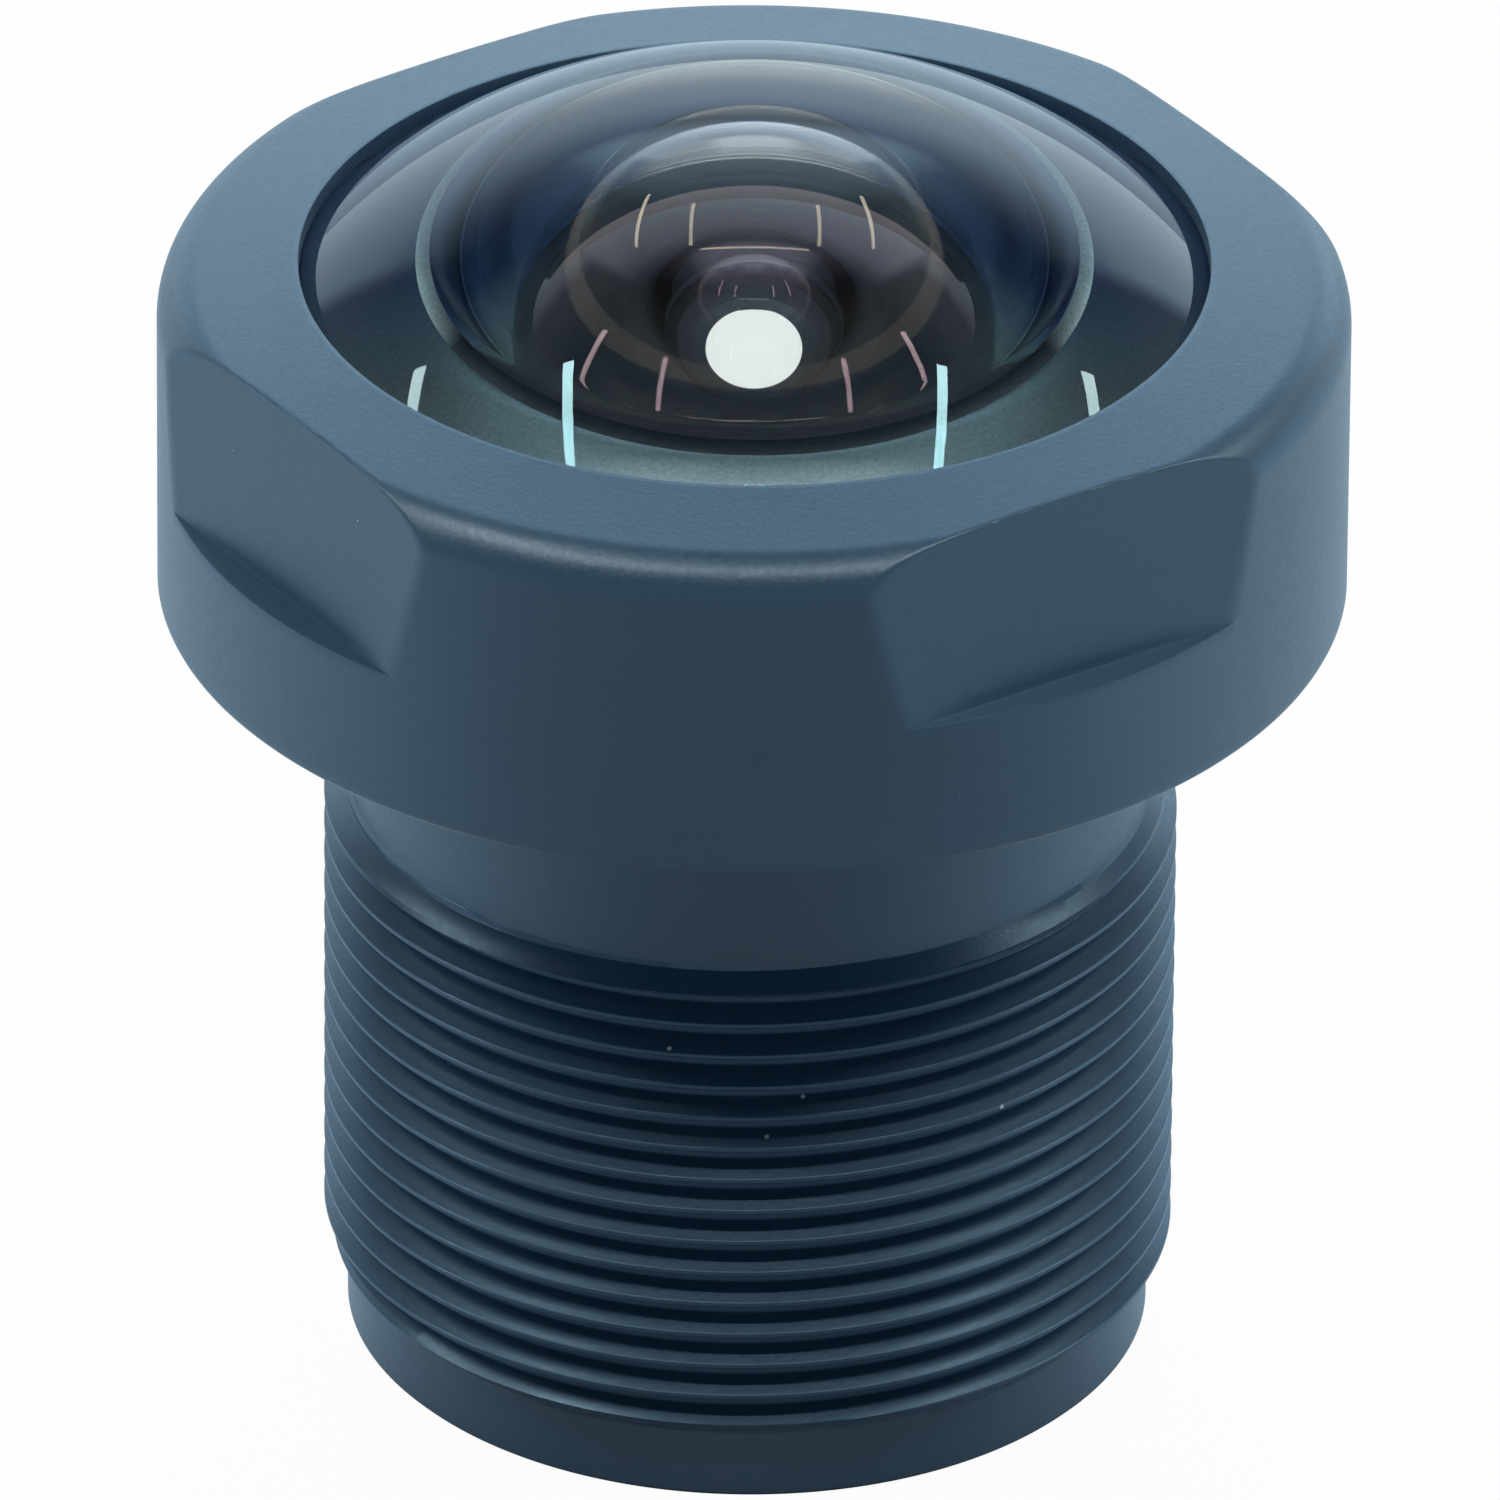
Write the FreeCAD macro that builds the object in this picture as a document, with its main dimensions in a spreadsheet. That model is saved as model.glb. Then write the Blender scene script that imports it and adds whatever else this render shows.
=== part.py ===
"""Board camera lens with an M12 x 0.5 barrel, as a parametric document.

The lens stands on its rear face with its optical axis along +Z. The origin is the centre of the
rear face. The four wrench flats of the head face +X, +Y, -X and -Y. Sizes are in millimetres.
"""

import FreeCAD, Part
import math
import os
import re
import Sketcher

# Driving dimensions. Heights are above the rear face. The head's own sizes start from its outside and
# go inwards, wall by wall, and a stack of touching pieces is described by the thickness of each
# piece, from the rim of the head down.
SIZES = {
    # Barrel, outside
    "thread_radius": 5.975,
    "thread_top_height": 8.25,
    "thread_pitch": 0.50,
    "thread_depth": 0.30,
    "thread_crest": 0.06,
    "thread_root": 0.08,
    "lowest_groove_height": 1.59,
    "groove_count": 14,
    "pilot_relief": 0.335,
    "pilot_height": 1.05,
    "pilot_chamfer": 0.08,
    "neck_relief": 0.325,
    "head_height": 11.60,
    "pocket_wall": 0.43,
    "pocket_depth": 0.53,
    "barrel_edge_chamfer": 0.10,
    # Barrel, inside
    "front_bore_step": 0.40,
    "upper_bore_radius": 4.80,
    "doublet_bore_radius": 3.60,
    "rear_bore_radius": 4.10,
    "ring_bore_radius": 4.60,
    "ring_bore_chamfer": 0.20,
    "web_thickness": 0.40,
    "web_opening_radius": 1.90,
    "web_opening_flare": 0.30,
    "seal_groove_width": 0.60,
    "seal_groove_depth": 0.50,
    # Fits: the gap between an edge and its bore, and between faces that do not clamp
    "edge_clearance": 0.02,
    "face_clearance": 0.03,
    "seal_clearance": 0.005,
    # Front cap
    "cap_radius": 8.30,
    "cap_height": 5.07,
    "cap_wall": 1.13,
    "cap_top_drop": 0.33,
    "cap_edge_fillet": 0.68,
    "cap_bottom_chamfer": 0.10,
    "lip_overhang": 0.37,
    "lip_thickness": 0.252,
    "lip_gap": 0.02,
    "flat_depth": 0.454,
    "flat_ledge_rise": 2.18,
    "flat_lean": 5.4,
    "flat_count": 4,
    # Front element, a meniscus
    "dome_radius": 9.392,
    "front_edge_thickness": 0.62,
    "front_concave_radius": 4.10,
    "front_centre_thickness": 0.552,
    "front_concave_bevel": 0.15,
    # Spacer between the first and second elements
    "front_spacer_thickness": 0.10,
    "front_spacer_opening": 4.15,
    # Second element
    "second_front_radius": 11.0,
    "second_clear_radius": 3.55,
    "second_shoulder_width": 0.15,
    "second_rise": 0.68,
    "second_centre_thickness": 0.90,
    "second_rear_radius": 2.05,
    "second_rear_inset": 0.10,
    "second_boss_clearance": 0.20,
    "second_boss_slope": 1.00,
    "second_flange_thickness": 1.12,
    # Stepped spacer between the second and third elements
    "stepped_spacer_height": 1.226,
    "stepped_spacer_foot": 0.42,
    "stepped_spacer_steps": 4,
    "stepped_spacer_relief": 0.10,
    "stepped_spacer_wide_radius": 4.20,
    # Third element and its holder
    "third_edge_radius": 3.40,
    "third_edge_thickness": 1.514,
    "third_front_radius": 9.0,
    "third_front_clear_radius": 2.40,
    "third_rear_radius": 4.2,
    "third_rear_clear_radius": 2.10,
    "holder_ledge_thickness": 0.76,
    "holder_ledge_relief": 0.25,
    # Aperture stop
    "stop_thickness": 0.10,
    "stop_opening_radius": 1.15,
    "stop_opening_flare": 0.15,
    # Cemented doublet and its holder
    "doublet_holder_height": 2.55,
    "doublet_ledge_thickness": 0.45,
    "doublet_edge_radius": 2.30,
    "doublet_rim_width": 0.20,
    "fourth_front_radius": 9.0,
    "fourth_thickness": 1.60,
    "cemented_radius": 3.2,
    "fifth_thickness": 0.70,
    "fifth_rear_radius": 9.0,
    # Thin black sheets
    "sheet_thickness": 0.08,
    "doublet_sheet_opening": 1.95,
    "rear_sheet_opening": 2.75,
    # Sixth and seventh elements and the rings between them
    "middle_spacer_height": 1.27,
    "middle_spacer_relief": 0.30,
    "sixth_flange_thickness": 0.50,
    "sixth_surface_radius": 6.0,
    "sixth_clear_radius": 2.60,
    "rear_spacer_height": 1.00,
    "rear_spacer_relief": 0.35,
    "seventh_flange_thickness": 1.35,
    "seventh_front_radius": 8.0,
    "seventh_rear_radius": 30.0,
    "seventh_clear_radius": 2.70,
    # Filter, gasket and retaining ring
    "filter_thickness": 0.30,
    "gasket_thickness": 0.15,
    "gasket_opening": 3.60,
    "ring_height": 1.62,
    "ring_opening": 3.55,
    "ring_opening_chamfer": 0.30,
    "slot_width": 0.80,
    "slot_depth": 0.60,
    "slot_count": 2,
}

doc = FreeCAD.newDocument("BoardCameraLens")

sheet = doc.addObject("Spreadsheet::Sheet", "Sizes")
for row, (alias, value) in enumerate(SIZES.items(), start=1):
    sheet.set(f"A{row}", alias)
    sheet.set(f"B{row}", str(value))
    sheet.setAlias(f"B{row}", alias)
doc.recompute()

sub_parts = []


def bound(text):
    """The expression with each size's name pointing at the spreadsheet."""
    return re.sub(r"[a-z_]+", lambda word: "Sizes." + word[0] if word[0] in SIZES else word[0], text)


def number(text):
    """The present value of an expression of sizes."""
    return float(sheet.evalExpression(bound(text)))


def sag(surface_radius, height_radius):
    """How far a spherical surface has fallen from its apex at a distance from the axis."""
    square = f"({surface_radius}) * ({surface_radius}) - ({height_radius}) * ({height_radius})"
    return f"({surface_radius} - sqrt({square}))"


def origin_feature(body, role):
    """A body's own origin plane or axis, by its role."""
    return next(item for item in body.Origin.OriginFeatures if item.Role == role)


def new_sketch(body, name):
    """A sketch on the body's XZ plane: its x is the radius and its y the height."""
    sketch = body.newObject("Sketcher::SketchObject", name)
    sketch.AttachmentSupport = [(origin_feature(body, "XZ_Plane"), "")]
    sketch.MapMode = "FlatFace"
    return sketch


def draw_profile(sketch, corners, arcs=()):
    """Draw a closed outline through corners given as (radius, height) expressions.

    A side whose first corner's number is in arcs is an arc about a centre on the axis; the others
    are straight. Every corner's place is bound to the sizes.
    """
    points = [(number(r), number(z)) for r, z in corners]
    start_of = []
    end_of = []
    for index, (r1, z1) in enumerate(points):
        r2, z2 = points[(index + 1) % len(points)]
        if index not in arcs:
            side = Part.LineSegment(FreeCAD.Vector(r1, z1, 0), FreeCAD.Vector(r2, z2, 0))
            geometry = sketch.addGeometry(side, False)
            start_of.append((geometry, 1))
            end_of.append((geometry, 2))
            continue
        centre = (r2 * r2 - r1 * r1 + z2 * z2 - z1 * z1) / (2 * (z2 - z1))
        angle1 = math.atan2(z1 - centre, r1)
        angle2 = math.atan2(z2 - centre, r2)
        middle = FreeCAD.Vector(0, centre, 0)
        circle = Part.Circle(middle, FreeCAD.Vector(0, 0, 1), math.hypot(r1, z1 - centre))
        forward = angle2 > angle1
        arc = Part.ArcOfCircle(circle, min(angle1, angle2), max(angle1, angle2))
        geometry = sketch.addGeometry(arc, False)
        start_of.append((geometry, 1 if forward else 2))
        end_of.append((geometry, 2 if forward else 1))
        sketch.addConstraint(Sketcher.Constraint("PointOnObject", geometry, 3, -2))
    for index, (radius, height) in enumerate(corners):
        corner = start_of[index]
        sketch.addConstraint(Sketcher.Constraint("Coincident", *end_of[index - 1], *corner))
        place_point(sketch, corner, f"corner_{index}", radius, height)


def place_point(sketch, corner, name, radius, height):
    """Bind one point of a sketch to a radius and a height."""
    if radius == "0":
        sketch.addConstraint(Sketcher.Constraint("PointOnObject", *corner, -2))
    else:
        bind_distance(sketch, "DistanceX", corner, name + "_radius", radius)
    if height == "0":
        sketch.addConstraint(Sketcher.Constraint("PointOnObject", *corner, -1))
    else:
        bind_distance(sketch, "DistanceY", corner, name + "_height", height)


def bind_distance(sketch, kind, corner, name, expression):
    """A distance from the sketch's origin, named and bound to an expression."""
    index = sketch.addConstraint(Sketcher.Constraint(kind, -1, 1, *corner, number(expression)))
    sketch.renameConstraint(index, name)
    sketch.setExpression(f"Constraints.{name}", bound(expression))


def turned_body(label, corners, arcs=()):
    """A body turned about the optical axis from an outline."""
    body = doc.addObject("PartDesign::Body", label)
    body.Label = label
    sketch = new_sketch(body, label + "_profile")
    draw_profile(sketch, corners, arcs)
    turning = body.newObject("PartDesign::Revolution", label + "_turning")
    turning.Profile = sketch
    turning.ReferenceAxis = (sketch, ["V_Axis"])
    turning.Angle = 360
    sketch.Visibility = False
    sub_parts.append(body)
    return body


def ring(label, outer, inner, bottom, top):
    """A plain ring with square edges."""
    return turned_body(label, [(inner, bottom), (outer, bottom), (outer, top), (inner, top)])


def turned_cut(body, name, corners):
    """Cut a turned shape out of a body, and return the cut."""
    doc.recompute()
    before = body.Shape.Volume
    sketch = new_sketch(body, name + "_profile")
    draw_profile(sketch, corners)
    cut = body.newObject("PartDesign::Groove", name)
    cut.Profile = sketch
    cut.ReferenceAxis = (sketch, ["V_Axis"])
    cut.Angle = 360
    sketch.Visibility = False
    doc.recompute()
    report_cut(name, before, body.Shape.Volume)
    return cut


def stacked_cuts(body, cut, spacing, count):
    """Repeat a cut up the optical axis."""
    before = body.Shape.Volume
    pattern = body.newObject("PartDesign::LinearPattern", cut.Name + "_pattern")
    pattern.Originals = [cut]
    pattern.Direction = (origin_feature(body, "Z_Axis"), [""])
    pattern.setExpression("Length", bound(f"({count} - 1) * {spacing}"))
    pattern.setExpression("Occurrences", bound(count))
    body.Tip = pattern
    doc.recompute()
    report_cut(pattern.Name, before, body.Shape.Volume)


def straight_cuts(body, name, corners, width, count):
    """Cut a prism of a given width through the rim, and repeat it round the axis."""
    doc.recompute()
    before = body.Shape.Volume
    sketch = new_sketch(body, name + "_profile")
    draw_profile(sketch, corners)
    cut = body.newObject("PartDesign::Pocket", name)
    cut.Profile = sketch
    cut.Type = 0
    cut.SideType = "Symmetric"
    cut.setExpression("Length", bound(width))
    sketch.Visibility = False
    doc.recompute()
    pattern = body.newObject("PartDesign::PolarPattern", name + "_pattern")
    pattern.Originals = [cut]
    pattern.Axis = (origin_feature(body, "Z_Axis"), [""])
    pattern.Angle = 360
    pattern.setExpression("Occurrences", bound(count))
    body.Tip = pattern
    doc.recompute()
    report_cut(name, before, body.Shape.Volume)


def report_cut(name, before, after):
    """Stop if a cut took nothing away."""
    if after >= before:
        raise ValueError(f"{name} cut nothing")
    print(f"{name} takes away {before - after:.2f} cubic millimetres")


# Radii of the head, from its outside inwards
CAP_BORE = "cap_radius - cap_wall"
CAP_THREAD = f"{CAP_BORE} - edge_clearance"
POCKET_RADIUS = f"{CAP_THREAD} - pocket_wall"
FRONT_EDGE = f"{POCKET_RADIUS} - edge_clearance"
CAP_RIM = f"{FRONT_EDGE} - lip_overhang"
SEAL_GROOVE = f"{POCKET_RADIUS} - seal_groove_width"

# Heights of the head, from its rim down to the seat of the front element
CAP_TOP = "head_height + cap_height"
DOME_APEX = f"{CAP_TOP} - lip_thickness - lip_gap + {sag('dome_radius', CAP_RIM)}"
DOME_EDGE = f"{DOME_APEX} - {sag('dome_radius', FRONT_EDGE)}"
FRONT_SEAT = f"{DOME_EDGE} - front_edge_thickness"
BARREL_TOP = f"{FRONT_SEAT} + pocket_depth"
SEAL_BOTTOM = f"{FRONT_SEAT} - seal_groove_depth"

# Heights down the front stack, from the front seat to the web
SPACER_BOTTOM = f"{FRONT_SEAT} - front_spacer_thickness"
SECOND_FLANGE_BOTTOM = f"{SPACER_BOTTOM} - second_flange_thickness"
THIRD_FRONT_RIM = f"{SECOND_FLANGE_BOTTOM} - stepped_spacer_height"
THIRD_REAR_RIM = f"{THIRD_FRONT_RIM} - third_edge_thickness"
HOLDER_BOTTOM = f"{THIRD_REAR_RIM} - holder_ledge_thickness"
WEB_TOP = f"{HOLDER_BOTTOM} - stop_thickness"

# Heights down the rear stack, from the web to the retaining ring
WEB_BOTTOM = f"{WEB_TOP} - web_thickness"
FOURTH_RIM = f"{WEB_BOTTOM} - doublet_ledge_thickness"
DOUBLET_HOLDER_BOTTOM = f"{WEB_BOTTOM} - doublet_holder_height"
DOUBLET_SHEET_BOTTOM = f"{DOUBLET_HOLDER_BOTTOM} - sheet_thickness"
SIXTH_FLANGE_TOP = f"{DOUBLET_SHEET_BOTTOM} - middle_spacer_height"
SIXTH_FLANGE_BOTTOM = f"{SIXTH_FLANGE_TOP} - sixth_flange_thickness"
SEVENTH_FLANGE_TOP = f"{SIXTH_FLANGE_BOTTOM} - rear_spacer_height"
SEVENTH_FLANGE_BOTTOM = f"{SEVENTH_FLANGE_TOP} - seventh_flange_thickness"
FILTER_TOP = f"{SEVENTH_FLANGE_BOTTOM} - sheet_thickness"
FILTER_BOTTOM = f"{FILTER_TOP} - filter_thickness"
RING_TOP = f"{FILTER_BOTTOM} - gasket_thickness"
RING_BOTTOM = f"{RING_TOP} - ring_height"

# Steps of the barrel's bore, each just clear of the shoulder that it faces
FRONT_STEP = f"{THIRD_FRONT_RIM} + stepped_spacer_foot"
DOUBLET_STEP = f"{DOUBLET_HOLDER_BOTTOM} + face_clearance"
RING_STEP = f"{RING_TOP} + face_clearance"

# Radii outside the barrel and in its bore, and the outer radii of what fits in each bore
PILOT_RADIUS = "thread_radius - pilot_relief"
NECK_RADIUS = "thread_radius - neck_relief"
FRONT_BORE = "upper_bore_radius + front_bore_step"
FRONT_FIT = f"{FRONT_BORE} - edge_clearance"
UPPER_FIT = "upper_bore_radius - edge_clearance"
DOUBLET_FIT = "doublet_bore_radius - edge_clearance"
REAR_FIT = "rear_bore_radius - edge_clearance"
RING_FIT = "ring_bore_radius - edge_clearance"

# Openings and rims, each just clear of the curved surface beside it
SECOND_REAR_RIM = "second_rear_radius - second_rear_inset"
SECOND_BOSS_BASE = "stepped_spacer_wide_radius - second_boss_clearance"
SECOND_BOSS = f"{SECOND_BOSS_BASE} - second_boss_slope"
STEPPED_SPACER_OPENING = "third_front_clear_radius + stepped_spacer_relief"
HOLDER_OPENING = "third_rear_clear_radius + holder_ledge_relief"
DOUBLET_RIM = "doublet_edge_radius - doublet_rim_width"
DOUBLET_OPENING = f"{DOUBLET_RIM} + edge_clearance"
MIDDLE_SPACER_OPENING = "sixth_clear_radius + middle_spacer_relief"
REAR_SPACER_OPENING = "sixth_clear_radius + rear_spacer_relief"


def make_lens_barrel():
    """Barrel: pilot, thread, shoulder and neck outside, stepped bores inside.

    The thread's grooves are rings one pitch apart, without its lead. They open wider than the crests
    leave room for, so that their mouths lie outside the barrel.
    """
    body = turned_body("lens_barrel", [
        ("0", "0"),
        (f"{PILOT_RADIUS} - pilot_chamfer", "0"),
        (PILOT_RADIUS, "pilot_chamfer"),
        (PILOT_RADIUS, "pilot_height"),
        ("thread_radius", "pilot_height + pilot_relief"),
        ("thread_radius", "thread_top_height"),
        (NECK_RADIUS, "thread_top_height + neck_relief"),
        (NECK_RADIUS, "head_height"),
        (CAP_THREAD, "head_height"),
        (CAP_THREAD, f"{BARREL_TOP} - barrel_edge_chamfer"),
        (f"{CAP_THREAD} - barrel_edge_chamfer", BARREL_TOP),
        ("0", BARREL_TOP),
    ])
    flank = "(thread_pitch - thread_crest - thread_root) / 2"
    mouth_radius = f"thread_radius + thread_depth * thread_crest / 4 / ({flank})"
    mouth = "(thread_pitch / 2 - thread_crest / 4)"
    groove = turned_cut(body, "thread_groove", [
        ("thread_radius - thread_depth", "lowest_groove_height - thread_root / 2"),
        (mouth_radius, f"lowest_groove_height - {mouth}"),
        (mouth_radius, f"lowest_groove_height + {mouth}"),
        ("thread_radius - thread_depth", "lowest_groove_height + thread_root / 2"),
    ])
    stacked_cuts(body, groove, "thread_pitch", "groove_count")
    turned_cut(body, "optics_bore", [
        ("0", BARREL_TOP),
        (POCKET_RADIUS, BARREL_TOP),
        (POCKET_RADIUS, SEAL_BOTTOM),
        (SEAL_GROOVE, SEAL_BOTTOM),
        (SEAL_GROOVE, FRONT_SEAT),
        (FRONT_BORE, FRONT_SEAT),
        (FRONT_BORE, FRONT_STEP),
        ("upper_bore_radius", FRONT_STEP),
        ("upper_bore_radius", WEB_TOP),
        ("web_opening_radius", WEB_TOP),
        ("web_opening_radius + web_opening_flare", WEB_BOTTOM),
        ("doublet_bore_radius", WEB_BOTTOM),
        ("doublet_bore_radius", DOUBLET_STEP),
        ("rear_bore_radius", DOUBLET_STEP),
        ("rear_bore_radius", RING_STEP),
        ("ring_bore_radius", RING_STEP),
        ("ring_bore_radius", "ring_bore_chamfer"),
        ("ring_bore_radius + ring_bore_chamfer", "0"),
        ("0", "0"),
    ])


def make_front_cap():
    """Head: a screwed cap whose lip holds the front element, with four leaning wrench flats."""
    corner_height = f"{CAP_TOP} - cap_top_drop"
    body = turned_body("front_cap", [
        (CAP_BORE, "head_height"),
        ("cap_radius - cap_bottom_chamfer", "head_height"),
        ("cap_radius", "head_height + cap_bottom_chamfer"),
        ("cap_radius", corner_height),
        (CAP_RIM, CAP_TOP),
        (CAP_RIM, f"{CAP_TOP} - lip_thickness"),
        (FRONT_EDGE, f"{DOME_EDGE} + lip_gap"),
        (CAP_BORE, f"{DOME_EDGE} + lip_gap"),
    ])
    doc.recompute()
    turning = body.Tip
    rounding = body.newObject("PartDesign::Fillet", "top_rounding")
    rounding.Base = (turning, [circular_edge(turning.Shape, "cap_radius", corner_height)])
    rounding.setExpression("Radius", bound("cap_edge_fillet"))
    foot = "cap_radius - flat_depth"
    ledge = "head_height + flat_ledge_rise"
    beyond = "cap_radius + cap_edge_fillet"
    above = f"{CAP_TOP} + cap_edge_fillet"
    straight_cuts(body, "wrench_flats", [
        (foot, ledge),
        (beyond, ledge),
        (beyond, above),
        (f"{foot} - tan(flat_lean) * ({above} - ({ledge}))", above),
    ], "2 * cap_radius", "flat_count")


def circular_edge(shape, radius, height):
    """The name of the full circle about the axis with a given radius and height."""
    wanted_radius = number(radius)
    wanted_height = number(height)
    tolerance = 1e-6
    for index, edge in enumerate(shape.Edges, start=1):
        if not isinstance(edge.Curve, Part.Circle):
            continue
        same_radius = abs(edge.Curve.Radius - wanted_radius) < tolerance
        if same_radius and abs(edge.CenterOfMass.z - wanted_height) < tolerance:
            return f"Edge{index}"
    raise ValueError(f"no circle of radius {wanted_radius} at height {wanted_height}")


def make_front_element():
    """First element: a domed meniscus, clamped at its edge, with a bevelled concave rear."""
    concave_apex = f"{DOME_APEX} - front_centre_thickness"
    bevel_height = f"{FRONT_SEAT} + front_concave_bevel"
    reach = f"({bevel_height} - ({concave_apex} - front_concave_radius))"
    bevel_radius = f"sqrt(front_concave_radius * front_concave_radius - {reach} * {reach})"
    turned_body("front_element", [
        ("0", concave_apex),
        (bevel_radius, bevel_height),
        (f"{bevel_radius} + front_concave_bevel", FRONT_SEAT),
        (FRONT_EDGE, FRONT_SEAT),
        (FRONT_EDGE, DOME_EDGE),
        ("0", DOME_APEX),
    ], arcs=(0, 4))


def make_front_o_ring():
    """Seal in the groove under the edge of the front element."""
    seal = doc.addObject("Part::Torus", "front_o_ring")
    seal.Label = "front_o_ring"
    seal.setExpression("Radius1", bound(f"({SEAL_GROOVE} + {POCKET_RADIUS}) / 2"))
    seal.setExpression("Radius2", bound("seal_groove_depth / 2 - seal_clearance"))
    seal.setExpression("Placement.Base.z", bound(f"{FRONT_SEAT} - seal_groove_depth / 2"))
    sub_parts.append(seal)


def make_second_element():
    """Second element: a moulded meniscus with a flange and a conical boss behind."""
    apex = f"{SPACER_BOTTOM} + second_rise"
    rear_apex = f"{apex} - second_centre_thickness"
    boss_height = f"{rear_apex} - {sag('second_rear_radius', SECOND_REAR_RIM)}"
    clear_height = f"{apex} - {sag('second_front_radius', 'second_clear_radius')}"
    turned_body("second_element", [
        ("0", rear_apex),
        (SECOND_REAR_RIM, boss_height),
        (SECOND_BOSS, boss_height),
        (SECOND_BOSS_BASE, SECOND_FLANGE_BOTTOM),
        (FRONT_FIT, SECOND_FLANGE_BOTTOM),
        (FRONT_FIT, SPACER_BOTTOM),
        ("second_clear_radius + second_shoulder_width", SPACER_BOTTOM),
        ("second_clear_radius", clear_height),
        ("0", apex),
    ], arcs=(0, 7))


def make_stepped_spacer():
    """Spacer with a stair of narrow rings that keep stray light from the third element."""
    width = f"(stepped_spacer_wide_radius - ({STEPPED_SPACER_OPENING}))"
    tread = f"{width} / (stepped_spacer_steps - 1)"
    riser = "stepped_spacer_height / stepped_spacer_steps"
    shoulder = f"{FRONT_STEP} + face_clearance"
    corners = []
    for step in range(SIZES["stepped_spacer_steps"]):
        radius = f"{STEPPED_SPACER_OPENING} + {step} * {tread}"
        corners.append((radius, f"{THIRD_FRONT_RIM} + {step} * {riser}"))
        corners.append((radius, f"{THIRD_FRONT_RIM} + {step + 1} * {riser}"))
    corners.append((FRONT_FIT, SECOND_FLANGE_BOTTOM))
    corners.append((FRONT_FIT, shoulder))
    corners.append((UPPER_FIT, shoulder))
    corners.append((UPPER_FIT, THIRD_FRONT_RIM))
    turned_body("stepped_spacer", corners)


def make_third_element():
    """Third element: a small thick biconvex glass with flat rims."""
    turned_body("third_element", [
        ("0", f"{THIRD_REAR_RIM} - {sag('third_rear_radius', 'third_rear_clear_radius')}"),
        ("third_rear_clear_radius", THIRD_REAR_RIM),
        ("third_edge_radius", THIRD_REAR_RIM),
        ("third_edge_radius", THIRD_FRONT_RIM),
        ("third_front_clear_radius", THIRD_FRONT_RIM),
        ("0", f"{THIRD_FRONT_RIM} + {sag('third_front_radius', 'third_front_clear_radius')}"),
    ], arcs=(0, 4))


def make_third_element_holder():
    """Ring that centres the third element in the upper bore, with a ledge under its rim."""
    top = f"{THIRD_FRONT_RIM} - face_clearance"
    pocket = "third_edge_radius + edge_clearance"
    turned_body("third_element_holder", [
        (HOLDER_OPENING, HOLDER_BOTTOM),
        (UPPER_FIT, HOLDER_BOTTOM),
        (UPPER_FIT, top),
        (pocket, top),
        (pocket, THIRD_REAR_RIM),
        (HOLDER_OPENING, THIRD_REAR_RIM),
    ])


def make_aperture_stop():
    """Thin disc with the knife-edged opening that sets the lens's aperture."""
    turned_body("aperture_stop", [
        ("stop_opening_radius + stop_opening_flare", WEB_TOP),
        (UPPER_FIT, WEB_TOP),
        (UPPER_FIT, HOLDER_BOTTOM),
        ("stop_opening_radius", HOLDER_BOTTOM),
    ])


def make_doublet():
    """Fourth and fifth elements, cemented together and bonded into their holder."""
    apex = f"{FOURTH_RIM} + {sag('fourth_front_radius', DOUBLET_RIM)}"
    cemented_apex = f"{apex} - fourth_thickness"
    cemented_edge = f"{cemented_apex} + {sag('cemented_radius', 'doublet_edge_radius')}"
    rear_apex = f"{cemented_apex} - fifth_thickness"
    turned_body("fourth_element", [
        ("0", cemented_apex),
        ("doublet_edge_radius", cemented_edge),
        ("doublet_edge_radius", FOURTH_RIM),
        (DOUBLET_RIM, FOURTH_RIM),
        ("0", apex),
    ], arcs=(0, 3))
    turned_body("fifth_element", [
        ("0", rear_apex),
        ("doublet_edge_radius", f"{rear_apex} + {sag('fifth_rear_radius', 'doublet_edge_radius')}"),
        ("doublet_edge_radius", cemented_edge),
        ("0", cemented_apex),
    ], arcs=(0, 2))


def make_doublet_holder():
    """Ring that centres the doublet under the web."""
    pocket = "doublet_edge_radius + edge_clearance"
    turned_body("doublet_holder", [
        (pocket, DOUBLET_HOLDER_BOTTOM),
        (DOUBLET_FIT, DOUBLET_HOLDER_BOTTOM),
        (DOUBLET_FIT, WEB_BOTTOM),
        (DOUBLET_OPENING, WEB_BOTTOM),
        (DOUBLET_OPENING, FOURTH_RIM),
        (pocket, FOURTH_RIM),
    ])


def make_sixth_element():
    """Sixth element: a moulded biconvex lens in a thin flange."""
    rise = sag("sixth_surface_radius", "sixth_clear_radius")
    turned_body("sixth_element", [
        ("0", f"{SIXTH_FLANGE_BOTTOM} - {rise}"),
        ("sixth_clear_radius", SIXTH_FLANGE_BOTTOM),
        (REAR_FIT, SIXTH_FLANGE_BOTTOM),
        (REAR_FIT, SIXTH_FLANGE_TOP),
        ("sixth_clear_radius", SIXTH_FLANGE_TOP),
        ("0", f"{SIXTH_FLANGE_TOP} + {rise}"),
    ], arcs=(0, 4))


def make_seventh_element():
    """Seventh element: a moulded biconcave field flattener."""
    turned_body("seventh_element", [
        ("0", f"{SEVENTH_FLANGE_BOTTOM} + {sag('seventh_rear_radius', 'seventh_clear_radius')}"),
        ("seventh_clear_radius", SEVENTH_FLANGE_BOTTOM),
        (REAR_FIT, SEVENTH_FLANGE_BOTTOM),
        (REAR_FIT, SEVENTH_FLANGE_TOP),
        ("seventh_clear_radius", SEVENTH_FLANGE_TOP),
        ("0", f"{SEVENTH_FLANGE_TOP} - {sag('seventh_front_radius', 'seventh_clear_radius')}"),
    ], arcs=(0, 4))


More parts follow.
